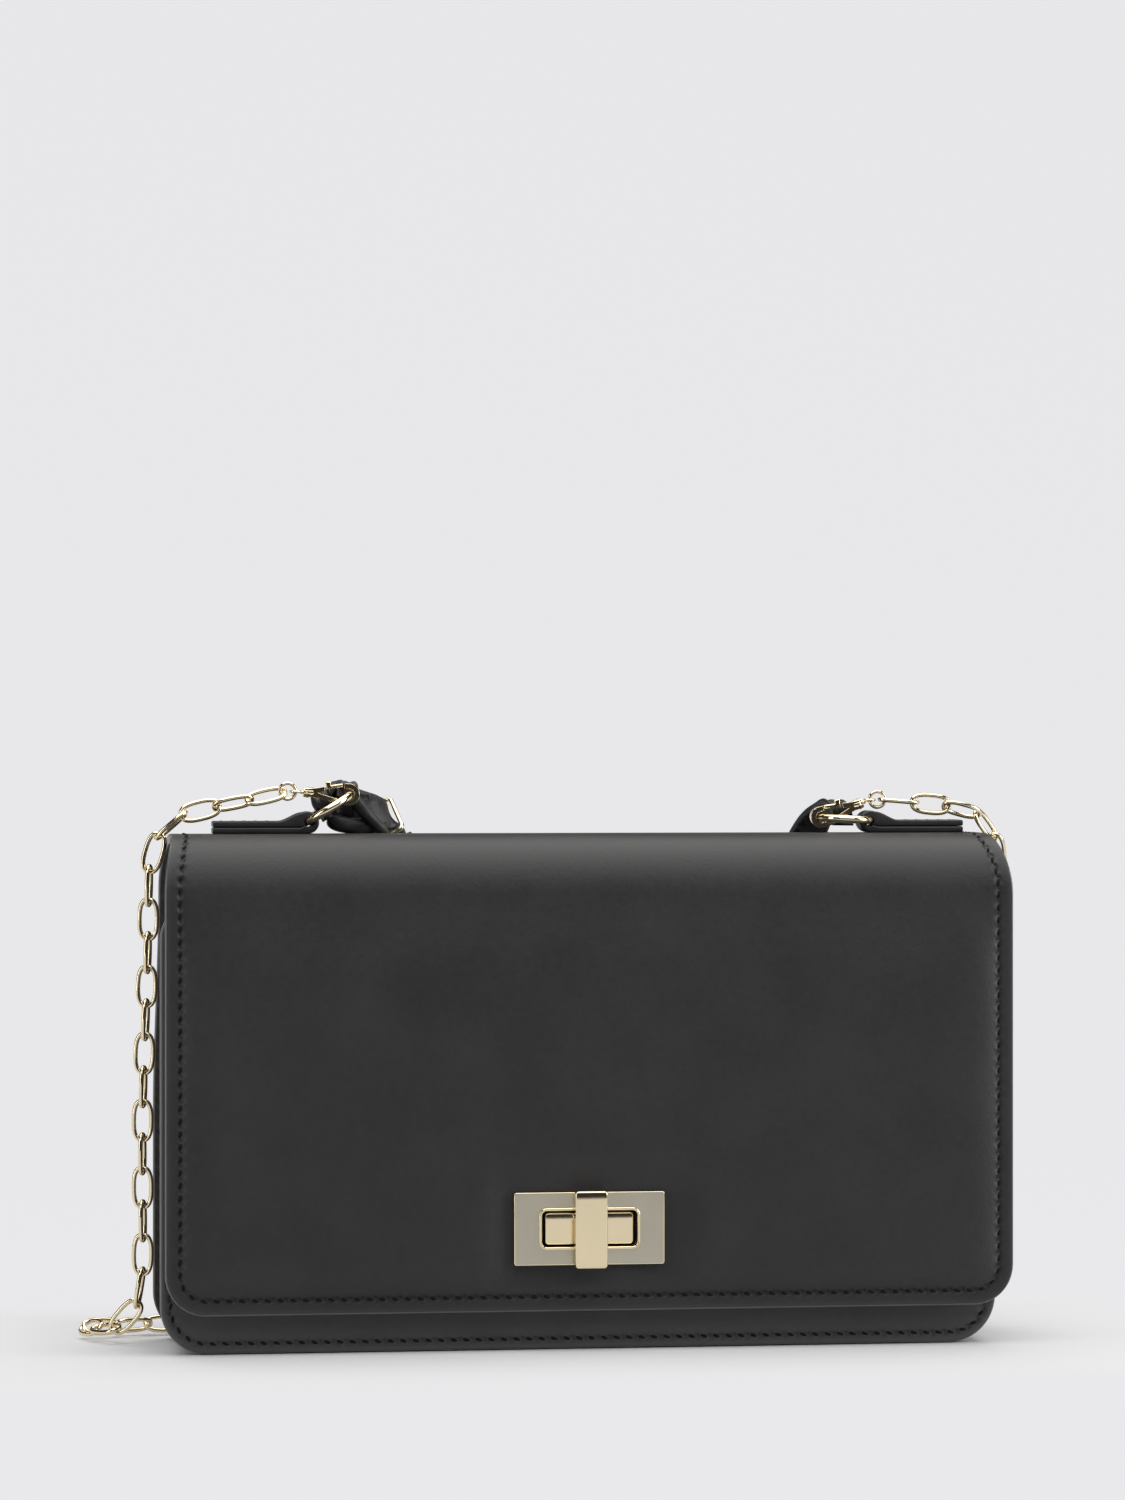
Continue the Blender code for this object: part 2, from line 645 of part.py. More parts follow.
def make_flap():
    columns, rows = flap_columns(), flap_rows()
    leather = sheet_solid(
        "flap_leather", columns, rows, flap_surface(0.0),
        lambda share, distance: crown(share, distance) - FLAP_LEATHER, crown, "leather",
    )
    lining_top = -FLAP_LEATHER - GAP
    lining = sheet_solid(
        "flap_lining", (-1.0, -0.5, 0.0, 0.5, 1.0), rows, flap_surface(FLAP_LINING_INSET),
        lambda share, distance: lining_top - FLAP_LINING, lambda share, distance: lining_top, "lining",
    )
    edge = 1 - PAD_EDGE / (FLAP_WIDTH / 2)
    low_row = flap_distance(FLAP_LOW_EDGE + PAD_EDGE)
    high_row = flap_distance(SHOULDER_Z - CROWN_RISE * PAD_EDGE_SHARE)
    pad_columns = [share for share in columns if abs(share) < edge + GAP]
    pad_rows = [row for row in rows if high_row - GAP < row < low_row + GAP]
    padding = sheet_solid(
        "flap_padding", pad_columns, pad_rows, flap_surface(0.0),
        lambda share, distance: -FLAP_LEATHER,
        lambda share, distance: max(
            crown(share, distance) - FLAP_LEATHER - GAP, PADDING_LEAST - FLAP_LEATHER
        ),
        "padding",
    )
    seat_size = (2 * SEAT_HALF_WIDTH + CROWN_RISE, BODY_DEPTH, 2 * SEAT_HALF_HEIGHT + CROWN_RISE)
    cut(padding, block("padding_window", seat_size, (0, FLAP_FACE_Y, LOCK_HEIGHT), BAR_CORNER, None))
    for sheet in (leather, lining):
        slot_size = (SLOT_WIDTH + 2 * GAP, BODY_DEPTH, SLOT_HEIGHT + 2 * GAP)
        slot = block(sheet.name + "_slot", slot_size, (0, FLAP_FACE_Y, LOCK_HEIGHT), SLOT_CORNER, None)
        cut(sheet, slot)
        for index, (x, z) in enumerate(plate_rivets()):
            hole = rod(
                f"{sheet.name}_hole_{index}", PLATE_RIVET_RADIUS + GAP,
                (x, FLAP_FACE_Y - OVERRUN, z), (x, FRONT_FACE_Y, z), None, 10,
            )
            cut(sheet, hole)
    return leather


def plate_rivets():
    across = PLATE_WIDTH / 2 - PLATE_RIVET_INSET
    up = PLATE_HEIGHT / 2 - PLATE_RIVET_INSET
    return [(sx * across, LOCK_HEIGHT + sz * up) for sx in (-1, 1) for sz in (-1, 1)]


def make_flap_plate():
    centre_y = (PLATE_BACK_Y + PLATE_FACE_Y) / 2
    outline = rounded_rectangle(
        PLATE_WIDTH, -PLATE_HEIGHT / 2, PLATE_HEIGHT / 2, PLATE_CORNER, PLATE_CORNER, 2
    )
    opening = rounded_rectangle(SLOT_WIDTH, -SLOT_HEIGHT / 2, SLOT_HEIGHT / 2, SLOT_CORNER, SLOT_CORNER)
    plate = outline_solid(
        "flap_plate", [outline, opening], PLATE_THICK, front_place(0, centre_y, LOCK_HEIGHT), "satin_gold"
    )
    rim_height = SLOT_HEIGHT + 2 * RIM_WIDTH
    rim_outer = rounded_rectangle(
        SLOT_WIDTH + 2 * RIM_WIDTH, -rim_height / 2, rim_height / 2,
        SLOT_CORNER + RIM_WIDTH, SLOT_CORNER + RIM_WIDTH,
    )
    rim_depth = RIM_RISE + PLATE_THICK / 2
    rim = outline_solid(
        "plate_rim", [rim_outer, opening], rim_depth,
        front_place(0, RIM_FACE_Y + rim_depth / 2, LOCK_HEIGHT), "satin_gold",
    )
    join(plate, rim)
    backer_back_y = FLAP_INNER_Y + GAP + FLAP_BACKER_THICK
    for index, (x, z) in enumerate(plate_rivets()):
        leg = rod(
            f"plate_rivet_{index}", PLATE_RIVET_RADIUS,
            (x, centre_y, z), (x, backer_back_y, z), "satin_gold", 10,
        )
        join(plate, leg)
    backer = outline_solid(
        "flap_plate_backer",
        [outline, rounded_rectangle(
            SLOT_WIDTH + 2 * GAP, -SLOT_HEIGHT / 2 - GAP, SLOT_HEIGHT / 2 + GAP, SLOT_CORNER, SLOT_CORNER
        )],
        FLAP_BACKER_THICK, front_place(0, backer_back_y - FLAP_BACKER_THICK / 2, LOCK_HEIGHT), "steel",
    )
    for index, (x, z) in enumerate(plate_rivets()):
        cut(backer, rod(
            f"backer_hole_{index}", PLATE_RIVET_RADIUS + GAP,
            (x, backer_back_y + OVERRUN, z), (x, FLAP_FACE_Y, z), None, 10,
        ))


def base_rivets():
    return [-BASE_RIVET_SPACING / 2, BASE_RIVET_SPACING / 2]


def make_turn_lock():
    base_back = FRONT_FACE_Y - GAP
    base = block(
        "lock_base", (LOCK_BASE_WIDTH, base_back - BASE_FACE_Y, LOCK_BASE_HEIGHT),
        (0, (base_back + BASE_FACE_Y) / 2, LOCK_HEIGHT), LOCK_BASE_CORNER, "gold",
    )
    for index, x in enumerate(base_rivets()):
        join(base, rod(
            f"base_rivet_{index}", BASE_RIVET_RADIUS,
            (x, (base_back + BASE_FACE_Y) / 2, LOCK_HEIGHT), (x, BACKER_BACK_Y, LOCK_HEIGHT), "gold", 12,
        ))
    cut(base, rod(
        "base_bore", POST_RADIUS + POST_CLEARANCE,
        (0, BASE_FACE_Y - OVERRUN, LOCK_HEIGHT), (0, base_back + OVERRUN, LOCK_HEIGHT), None, 24,
    ))
    bar = block(
        "turn_bar", (BAR_WIDTH, BAR_THICK, BAR_LENGTH),
        (0, BAR_BACK_Y - BAR_THICK / 2, LOCK_HEIGHT), BAR_CORNER, "gold",
    )
    join(bar, rod(
        "bar_post", POST_RADIUS,
        (0, BAR_BACK_Y - BAR_THICK / 2, LOCK_HEIGHT), (0, POST_END_Y, LOCK_HEIGHT), "gold", 24,
    ))
    clip_loops = [
        arc((0, 0), CLIP_RADIUS, 0, 345, 23),
        arc((0, 0), POST_RADIUS + POST_CLEARANCE, 0, 345, 23),
    ]
    outline_solid(
        "turn_bar_clip", clip_loops, CLIP_THICK,
        front_place(0, CLIP_FRONT_Y + CLIP_THICK / 2, LOCK_HEIGHT), "steel",
    )
    backer = block(
        "lock_backer", (BACKER_WIDTH, BACKER_THICK, BACKER_HEIGHT),
        (0, (BACKER_FRONT_Y + BACKER_BACK_Y) / 2, LOCK_HEIGHT), BAR_CORNER, "steel",
    )
    cut_lock_holes(backer)
    patch_width = BACKER_WIDTH + 2 * (BACKER_WINDOW + PATCH_BORDER)
    patch_height = BACKER_HEIGHT + 2 * (BACKER_WINDOW + PATCH_BORDER)
    patch_front = BACKER_BACK_Y + GAP
    pocket_floor = POST_END_Y + GAP
    patch = block(
        "lock_patch", (patch_width, pocket_floor + PATCH_WALL - patch_front, patch_height),
        (0, (patch_front + pocket_floor + PATCH_WALL) / 2, LOCK_HEIGHT), PANEL_TOP_CORNER / 2, "leather",
    )
    cut(patch, block(
        "patch_pocket",
        (
            BACKER_WIDTH + 2 * BACKER_WINDOW, 2 * (pocket_floor - patch_front),
            BACKER_HEIGHT + 2 * BACKER_WINDOW,
        ),
        (0, patch_front, LOCK_HEIGHT), BAR_CORNER, None,
    ))


def cut_lock_holes(piece):
    """The holes of the turn bar's post and of the lock base's rivets."""
    ahead, behind = FRONT_FACE_Y - OVERRUN, BACKER_BACK_Y + OVERRUN
    cut(piece, rod(
        piece.name + "_post_hole", POST_RADIUS + GAP,
        (0, ahead, LOCK_HEIGHT), (0, behind, LOCK_HEIGHT), None, 20,
    ))
    for index, x in enumerate(base_rivets()):
        cut(piece, rod(
            f"{piece.name}_rivet_hole_{index}", BASE_RIVET_RADIUS + GAP,
            (x, ahead, LOCK_HEIGHT), (x, behind, LOCK_HEIGHT), None, 12,
        ))


# Back panel surface
BACK_RISE = BAG_HEIGHT - REAR_SHOULDER
BACK_ARC = REAR_SHOULDER * math.pi / 2
CREST_FLAT = BACK_FACE_Y - REAR_SHOULDER - FOLD_Y
BACK_LENGTH = BACK_RISE + BACK_ARC + CREST_FLAT


def back_profile(distance):
    """Place and outward direction on the back, from the base up and over the crest to the fold."""
    if distance <= BACK_RISE:
        return BACK_FACE_Y, distance, 1.0, 0.0
    if distance <= BACK_RISE + BACK_ARC:
        angle = (distance - BACK_RISE) / REAR_SHOULDER
        away, up = math.cos(angle), math.sin(angle)
        return BACK_FACE_Y - REAR_SHOULDER + REAR_SHOULDER * away, BACK_RISE + REAR_SHOULDER * up, away, up
    return BACK_FACE_Y - REAR_SHOULDER - (distance - BACK_RISE - BACK_ARC), BAG_HEIGHT, 0.0, 1.0


def back_surface(share, distance, height):
    y, z, away, up = back_profile(distance)
    half = FLAP_WIDTH / 2
    if distance < PANEL_CORNER:
        half = half - PANEL_CORNER + math.sqrt(PANEL_CORNER**2 - (PANEL_CORNER - distance) ** 2)
    near_crest = ramp(distance, BACK_RISE, BACK_RISE + BACK_ARC)
    half -= CREST_DRAWN_IN * near_crest
    x = FLAP_ASIDE * ramp(distance, BACK_RISE / 2, BACK_RISE) + CREST_ASIDE * near_crest + share * half
    return (x, y + away * height, z + up * height)


def make_body():
    rows = [PANEL_CORNER * (1 - math.cos(math.radians(angle))) for angle in (0, 22.5, 45, 67.5, 90)]
    rows += [BACK_RISE / 2, BACK_RISE * 0.75, BACK_RISE]
    rows += [BACK_RISE + BACK_ARC * step / 5 for step in range(1, 6)] + [BACK_LENGTH]
    sheet_solid(
        "back_panel", (-1.0, -0.5, 0.0, 0.5, 1.0), rows, back_surface,
        lambda share, distance: -PANEL_THICK, no_height, "leather",
    )
    panel_loop = rounded_rectangle(PANEL_WIDTH, 0, PANEL_HEIGHT, PANEL_CORNER, PANEL_TOP_CORNER, 6)
    panel = outline_solid(
        "front_panel", [panel_loop], PANEL_THICK,
        front_place(PANEL_ASIDE, FRONT_FACE_Y + PANEL_THICK / 2, 0), "leather",
    )
    cut_lock_holes(panel)
    make_gusset()
    make_linings()


def gusset_side_outline():
    """The gusset seen from the side: level base, full height at the back, sloping to the front panel."""
    front, back = FRONT_INNER_Y + GAP, BACK_INNER_Y - GAP
    centre = (BACK_FACE_Y - REAR_SHOULDER, BACK_RISE)
    inner = REAR_SHOULDER - PANEL_THICK - LOOSE
    under = [point for point in arc(centre, inner, 0, 90, 6) if point[0] < back]
    crest_y = SHOULDER_Y + LOOSE
    top = [(crest_y, under[-1][1]), (front, PANEL_HEIGHT - GAP)]
    return [(front, 0), (back, 0), (back, BACK_RISE)] + under + top


def make_gusset():
    depth = BACK_INNER_Y - FRONT_INNER_Y - 2 * GAP
    top = BAG_HEIGHT + OVERRUN
    inside_corner = GUSSET_CORNER - GUSSET_THICK
    outer, inner = GUSSET_HALF, GUSSET_HALF - GUSSET_THICK
    outside = arc((-outer + GUSSET_CORNER, GUSSET_CORNER), GUSSET_CORNER, 180, 270, 6)
    outside += arc((outer - GUSSET_CORNER, GUSSET_CORNER), GUSSET_CORNER, 270, 360, 6)
    inside = arc((outer - GUSSET_CORNER, GUSSET_CORNER), inside_corner, 360, 270, 6)
    inside += arc((-outer + GUSSET_CORNER, GUSSET_CORNER), inside_corner, 270, 180, 6)
    loop = [(-outer, top)] + outside + [(outer, top), (inner, top)] + inside + [(-inner, top)]
    gusset = outline_solid(
        "gusset", [loop], depth, front_place(GUSSET_ASIDE, (BACK_INNER_Y + FRONT_INNER_Y) / 2, 0), "leather"
    )
    trim(gusset, outline_solid(
        "gusset_side", [gusset_side_outline()], 2 * (GUSSET_HALF + OVERRUN), side_place(0, 0, 0), None
    ))


def make_linings():
    low = GUSSET_THICK + GAP
    corner = GUSSET_CORNER - GUSSET_THICK
    front_loop = rounded_rectangle(2 * INNER_HALF, low, PANEL_HEIGHT - FRONT_LINING_DROP, corner, corner / 2)
    window_width = BACKER_WIDTH + 2 * BACKER_WINDOW
    window_height = BACKER_HEIGHT + 2 * BACKER_WINDOW
    window = rounded_rectangle(
        window_width, LOCK_HEIGHT - window_height / 2, LOCK_HEIGHT + window_height / 2,
        BAR_CORNER, BAR_CORNER, 2,
    )
    window = [(x - GUSSET_ASIDE, z) for x, z in window]
    outline_solid(
        "front_lining", [front_loop, window], LINING_THICK,
        front_place(GUSSET_ASIDE, FRONT_INNER_Y + GAP + LINING_THICK / 2, 0), "lining",
    )
    back_loop = rounded_rectangle(2 * INNER_HALF, low, BACK_LINING_HEIGHT, corner, corner / 2)
    back_y = BACK_INNER_Y - GAP
    outline_solid(
        "back_lining", [back_loop], LINING_THICK,
        front_place(GUSSET_ASIDE, back_y - LINING_THICK / 2, 0), "lining",
    )
    leaf_y = back_y - LINING_THICK - GAP
    for index, height in enumerate(CARD_LEAF_HEIGHTS):
        loop = rounded_rectangle(
            2 * (INNER_HALF - CARD_LEAF_INSET), low, height, corner - CARD_LEAF_INSET, corner / 2
        )
        outline_solid(
            f"card_leaf_{index + 1}", [loop], CARD_LEAF_THICK,
            front_place(GUSSET_ASIDE, leaf_y - CARD_LEAF_THICK / 2, 0), "leather",
        )
        leaf_y -= CARD_LEAF_THICK + GAP


def tab_loops():
    """A strap folded round the ring: two flat layers that part at the loop. X runs from the outer end."""
    flat_top = 2 * TAB_STRAP
    centre = (LOOP_CENTRE_FROM_END, LOOP_RADIUS)
    neck = TAB_LENGTH * TAB_NECK_SHARE
    outer = [(0, 0)] + arc(centre, LOOP_RADIUS, -90, 110, 10) + [(neck, flat_top), (0, flat_top)]
    inner = arc(centre, LOOP_HOLE_RADIUS, -90, 90, 8)
    inner += [(centre[0] - LOOP_HOLE_RADIUS, LOOP_RADIUS + LOOP_HOLE_RADIUS / 2)]
    inner += [(centre[0] - 2 * LOOP_HOLE_RADIUS, TAB_STRAP + GAP)]
    inner += [(centre[0] - LOOP_HOLE_RADIUS, TAB_STRAP)]
    return [outer, inner]


def make_tab(name, end_x, towards):
    place = front_place(end_x, HARDWARE_Y, TAB_BASE_Z) @ Matrix.Diagonal((towards, 1, towards, 1))
    return outline_solid(name, tab_loops(), TAB_WIDTH, place, "leather")


def ring_mesh(name, radius, wire, points, resolution, look):
    line = []
    for index in range(points):
        angle = 2 * math.pi * index / points
        line.append((radius * math.cos(angle), radius * math.sin(angle), 0))
    return wire_mesh(name, line, wire, True, resolution, look)


def make_ring(name, end_x, towards, tilt):
    """A ring held in the tab's loop at one side, tilted up from it. Its far side is returned."""
    mesh = ring_mesh(name, RING_RADIUS, RING_WIRE, 24, 2, "gold")
    away = Vector((towards * math.cos(tilt), 0, math.sin(tilt)))
    loop_centre = Vector((end_x + towards * LOOP_CENTRE_FROM_END, HARDWARE_Y, LOOP_CENTRE_Z))
    centre = loop_centre + away * (RING_RADIUS - RING_BOW / 2)
    mesh.transform(Matrix.Translation(centre) @ Matrix.Rotation(-towards * tilt, 4, "Y"))
    add_piece(name, mesh, "gold")
    return centre + away * RING_RADIUS


def clasp_half_height(x, inset):
    """Half the clasp's height at a distance from its tail: it widens to a round bowl at the tip."""
    centre = CLASP_LENGTH - CLASP_BOWL_RADIUS
    radius = CLASP_BOWL_RADIUS - inset
    if x >= centre:
        return math.sqrt(max(0.0, radius**2 - (x - centre) ** 2))
    widening = CLASP_NECK + (CLASP_BOWL_RADIUS - CLASP_NECK) * ramp(x, 0, centre)
    return widening - inset


def opening_half_height(x):
    rounding_end = CLASP_OPENING_START + CLASP_OPENING_ROUND
    closing = max(0.0, (rounding_end - x) / CLASP_OPENING_ROUND)
    return clasp_half_height(x, CLASP_WALL) * math.sqrt(max(0.0, 1 - closing**2))


def spread(start, end, steps):
    return [start + (end - start) * step / steps for step in range(steps + 1)]


def clasp_outlines():
    """Hook and lever of a clasp. X runs from the tail to the tip, and the lever closes the upper side."""
    centre = CLASP_LENGTH - CLASP_BOWL_RADIUS
    inner_radius = CLASP_BOWL_RADIUS - CLASP_WALL
    upper_back = [(x, clasp_half_height(x, 0)) for x in spread(CLASP_GATE_START, 0, 5)]
    lower = [(x, -clasp_half_height(x, 0)) for x in spread(0, centre, 9)]
    bowl = arc((centre, 0), CLASP_BOWL_RADIUS, -90, 90, 12)[1:]
    claw = [(x, clasp_half_height(x, 0)) for x in spread(centre, CLASP_GATE_END, 2)[1:]]
    claw_inner = [(x, opening_half_height(x)) for x in spread(CLASP_GATE_END, centre, 2)[:-1]]
    bowl_inner = arc((centre, 0), inner_radius, 90, -90, 10)
    lower_inner = [(x, -opening_half_height(x)) for x in spread(centre, CLASP_OPENING_START, 9)[1:]]
    upper_inner = [(x, opening_half_height(x)) for x in spread(CLASP_OPENING_START, CLASP_GATE_START, 4)[1:]]
    hook = upper_back + lower + bowl + claw + claw_inner + bowl_inner + lower_inner + upper_inner
    start, end = CLASP_GATE_START + GAP, CLASP_GATE_END - GAP
    steps = spread(start, end, 8)
    inner_side = [(x, clasp_half_height(x, TRIGGER_WALL)) for x in steps]
    outer_side = [(x, clasp_half_height(x, 0)) for x in reversed(steps[2:])]
    thumb_top = clasp_half_height(start, 0) + TRIGGER_THUMB
    thumb = [(start + TRIGGER_THUMB, thumb_top), (start - TRIGGER_THUMB / 3, thumb_top)]
    thumb += [(start, clasp_half_height(start, 0))]
    return hook, inner_side + outer_side + thumb


def make_clasp(side, held, slope, jump_rise, towards):
    """A clasp with the ring's far side in its bowl. Its jump ring's centre is returned."""
    hook_loop, lever_loop = clasp_outlines()
    seat = CLASP_LENGTH - CLASP_BOWL_RADIUS + CLASP_SEAT
    turn = Matrix.Rotation(towards * slope, 4, "Y") @ FACING_FRONT @ Matrix.Diagonal((towards, 1, towards, 1))
    place = Matrix.Translation(held) @ turn @ Matrix.Translation((-seat, 0, 0))
    body = outline_solid(f"clasp_{side}_body", [hook_loop], CLASP_THICK, place, "gold")
    axis = place.to_3x3() @ Vector((1, 0, 0))
    tail = place @ Vector((0, 0, 0))
    join(body, rod(
        f"clasp_{side}_tail", CLASP_TAIL_RADIUS,
        tail - axis * GAP, tail + axis * CLASP_TAIL_LENGTH, "gold", 14,
    ))
    cut(body, rod(
        f"clasp_{side}_bore", CLASP_BORE_RADIUS,
        tail - axis * OVERRUN, tail + axis * CLASP_BORE_DEPTH, None, 12,
    ))
    outline_solid(f"clasp_{side}_trigger", [lever_loop], TRIGGER_THICK, place, "gold")
    pivot_height = clasp_half_height(CLASP_GATE_START, TRIGGER_WALL / 2)
    pivot = place @ Vector((CLASP_GATE_START + GAP + TRIGGER_WALL, pivot_height, 0))
    print(f"trigger {side} turns about", [round(v * 1000, 2) for v in pivot])
    eye_centre = tail - axis * (EYE_RADIUS + EYE_WIRE / 2 + 2 * GAP)
    eye_mesh = ring_mesh(f"clasp_{side}_eye", EYE_RADIUS, EYE_WIRE, 16, 1, "gold")
    eye_mesh.transform(Matrix.Translation(eye_centre))
    eye = add_piece(f"clasp_{side}_eye", eye_mesh, "gold")
    join(eye, rod(
        f"clasp_{side}_eye_post", EYE_POST_RADIUS,
        eye_centre + axis * EYE_RADIUS, tail + axis * (CLASP_BORE_DEPTH - GAP), "gold", 10,
    ))
    away = Vector((-towards * math.cos(jump_rise), 0, math.sin(jump_rise)))
    jump_centre = eye_centre + away * JUMP_RADIUS
    jump_mesh = ring_mesh(f"jump_ring_{side}", JUMP_RADIUS, JUMP_WIRE, 16, 1, "gold")
    jump_mesh.transform(Matrix.Translation(jump_centre) @ FACING_FRONT)
    add_piece(f"jump_ring_{side}", jump_mesh, "gold")
    return jump_centre


def link_points():
    """The closed line of one link: two straights and two round ends."""
    turn = (LINK_WIDTH - LINK_WIRE) / 2
    straight = (LINK_LENGTH - LINK_WIDTH) / 2
    right = arc((straight, 0), turn, -90, 90, LINK_POINTS_PER_END - 1)
    left = arc((-straight, 0), turn, 90, 270, LINK_POINTS_PER_END - 1)
    return [(x, y, 0) for x, y in right + left]


def make_links(side, jump_centre, route, count, first_turns, mesh):
    """Links through joints one pitch apart, each turned on from the last. The last joint is returned."""
    leaving = (Vector(route[0]) - jump_centre).normalized()
    first = jump_centre + leaving * (JUMP_RADIUS - (JUMP_WIRE + LINK_PLAY) / 2)
    joints = equal_chords(smooth_route((first, *route)), LINK_PITCH, count)
    along = (joints[1] - joints[0]).normalized()
    normal = Vector((0, 1, 0))
    normal = (normal - along * normal.dot(along)).normalized()
    for index in range(count):
        start, end = joints[index], joints[index + 1]
        heading = (end - start).normalized()
        normal = (along.rotation_difference(heading) @ normal).normalized()
        along = heading
        turned = first_turns[index] if index < len(first_turns) else LINK_TURNS[index % 2]
        facing = Matrix.Rotation(math.radians(turned), 4, along) @ normal
        width = facing.cross(along)
        turn = Matrix((along, width, facing)).transposed().to_4x4()
        link = add_piece(f"chain_link_{side}_{index + 1:02d}", mesh, None)
        link.matrix_world = Matrix.Translation((start + end) / 2) @ turn
    return joints[-1], along


def make_run(name, points, spacing_share):
    line = spaced(smooth_route(points), RUN_DIAMETER * spacing_share)
    mesh = wire_mesh(name, line, RUN_DIAMETER, False, 2, "gold")
    return add_piece(name, mesh, None)


def coil_line():
    """Turns that spiral in on the floor and out again a layer up."""
    count = COIL_TURNS * COIL_POINTS_PER_TURN
    half_turns = COIL_TURNS / 2
    floor = RUN_DIAMETER / 2
    line = []
    for index in range(count + 1):
        turn = index / COIL_POINTS_PER_TURN
        radius = COIL_RADIUS - COIL_STEP * min(turn, COIL_TURNS - turn)
        angle = 2 * math.pi * turn - math.pi / 2
        height = floor + COIL_STEP * ramp(turn, half_turns - COIL_RISE_SHARE, half_turns + COIL_RISE_SHARE)
        line.append(Vector((
            COIL_CENTRE[0] + radius * math.cos(angle), COIL_CENTRE[1] + radius * math.sin(angle), height
        )))
    return line


def least_gap(line, diameter, skip):
    """The least distance between parts of one line that aren't neighbours, less its diameter."""
    nearest = min(
        (line[a] - line[b]).length for a in range(len(line)) for b in range(a + skip, len(line))
    )
    return nearest - diameter


def make_chain(left_jump, right_jump):
    mesh = wire_mesh("chain_link", link_points(), LINK_WIRE, True, 1, "gold")
    reach = LINK_OVERLAP + LINK_WIRE / 2 + LOOSE
    left_end, left_heading = make_links("left", left_jump, LEFT_ROUTE, LEFT_LINKS, LEFT_FIRST_TURNS, mesh)
    right_end, right_heading = make_links(
        "right", right_jump, RIGHT_ROUTE, RIGHT_LINKS, RIGHT_FIRST_TURNS, mesh
    )
    coil = coil_line()
    print(f"coil least gap {least_gap(coil, RUN_DIAMETER, COIL_POINTS_PER_TURN // 2) * 1000:.2f} mm")
    add_piece("chain_coil", wire_mesh("chain_coil", coil, RUN_DIAMETER, False, 1, "gold"), None)
    straight = RUN_DIAMETER * RUN_STRAIGHT_SHARE
    into = (coil[1] - coil[0]).normalized()
    coil_in = coil[0] - into * LOOSE
    out = (coil[-1] - coil[-2]).normalized()
    coil_out = coil[-1] + out * LOOSE
    left_start = left_end + left_heading * reach
    make_run("chain_run_left", [
        left_start, left_start + left_heading * straight, *LEFT_RUN_BEND, coil_in - into * straight, coil_in,
    ], RUN_SPACING_SHARE)
    right_start = right_end + right_heading * reach
    make_run("chain_run_right", [
        right_start, right_start + right_heading * straight, *RIGHT_RUN_BEND,
        coil_out + out * straight, coil_out,
    ], RUN_SPACING_SHARE)


def strap_frames():
    """Place, heading, width direction and width share all along the handle strap."""
    places = []
    for way, (x, y, z), across, share in STRAP_ROUTE:
        places.append((LEFT_LOOP_X + (RIGHT_LOOP_X - LEFT_LOOP_X) * way + x, y, BAG_HEIGHT + z))
    places = smooth_route(places, STRAP_STEPS)
    widths = smooth_route([across for way, place, across, share in STRAP_ROUTE], STRAP_STEPS)
    shares = smooth_route([(share, 0, 0) for way, place, across, share in STRAP_ROUTE], STRAP_STEPS)
    frames = []
    for index, place in enumerate(places):
        before, after = places[max(index - 1, 0)], places[min(index + 1, len(places) - 1)]
        heading = (after - before).normalized()
        across = widths[index] - heading * widths[index].dot(heading)
        frames.append((place, heading, across.normalized(), shares[index].x))
    return frames


def make_strap():
    frames = strap_frames()

    def surface(share, station, height):
        place, heading, across, width_share = frames[round(station)]
        facing = heading.cross(across)
        edge = 1 - (1 - STRAP_EDGE_SHARE) * max(0.0, abs(share) * 4 - 3)
        half = STRAP_WIDTH / 2 * width_share
        return place + across * share * half + facing * height * edge * width_share

    sheet_solid(
        "handle_strap", STRAP_COLUMN_SHARES, [float(k) for k in range(len(frames))], surface,
        lambda share, station: -STRAP_THICK / 2, lambda share, station: STRAP_THICK / 2, "leather",
    )
    place, heading, across, width_share = frames[SLIDE_POINT * STRAP_STEPS]
    up = SLIDE_HEIGHT / 2
    loop = rounded_rectangle(SLIDE_WIDTH, -up, up, SLIDE_WIRE, SLIDE_WIRE, 3)
    mesh = wire_mesh("strap_slide", [(x, y, 0) for x, y in loop], SLIDE_WIRE, True, 1, "gold")
    turn = Matrix((across, heading.cross(across), heading)).transposed().to_4x4()
    mesh.transform(Matrix.Translation(place) @ turn)
    add_piece("strap_slide", mesh, "gold")


make_body()
make_flap()
make_flap_plate()
make_turn_lock()
make_tab("tab_left", LEFT_TAB_END_X, 1)
make_tab("tab_right", RIGHT_TAB_END_X, -1)
left_held = make_ring("ring_left", LEFT_TAB_END_X, 1, LEFT_RING_TILT)
right_held = make_ring("ring_right", RIGHT_TAB_END_X, -1, RIGHT_RING_TILT)
left_jump_ring = make_clasp("left", left_held, LEFT_CLASP_SLOPE, LEFT_JUMP_RISE, 1)
right_jump_ring = make_clasp("right", right_held, RIGHT_CLASP_SLOPE, RIGHT_JUMP_RISE, -1)
make_chain(left_jump_ring, right_jump_ring)
make_strap()
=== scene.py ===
import math

import bmesh
import bpy
from mathutils import Matrix, Vector, noise


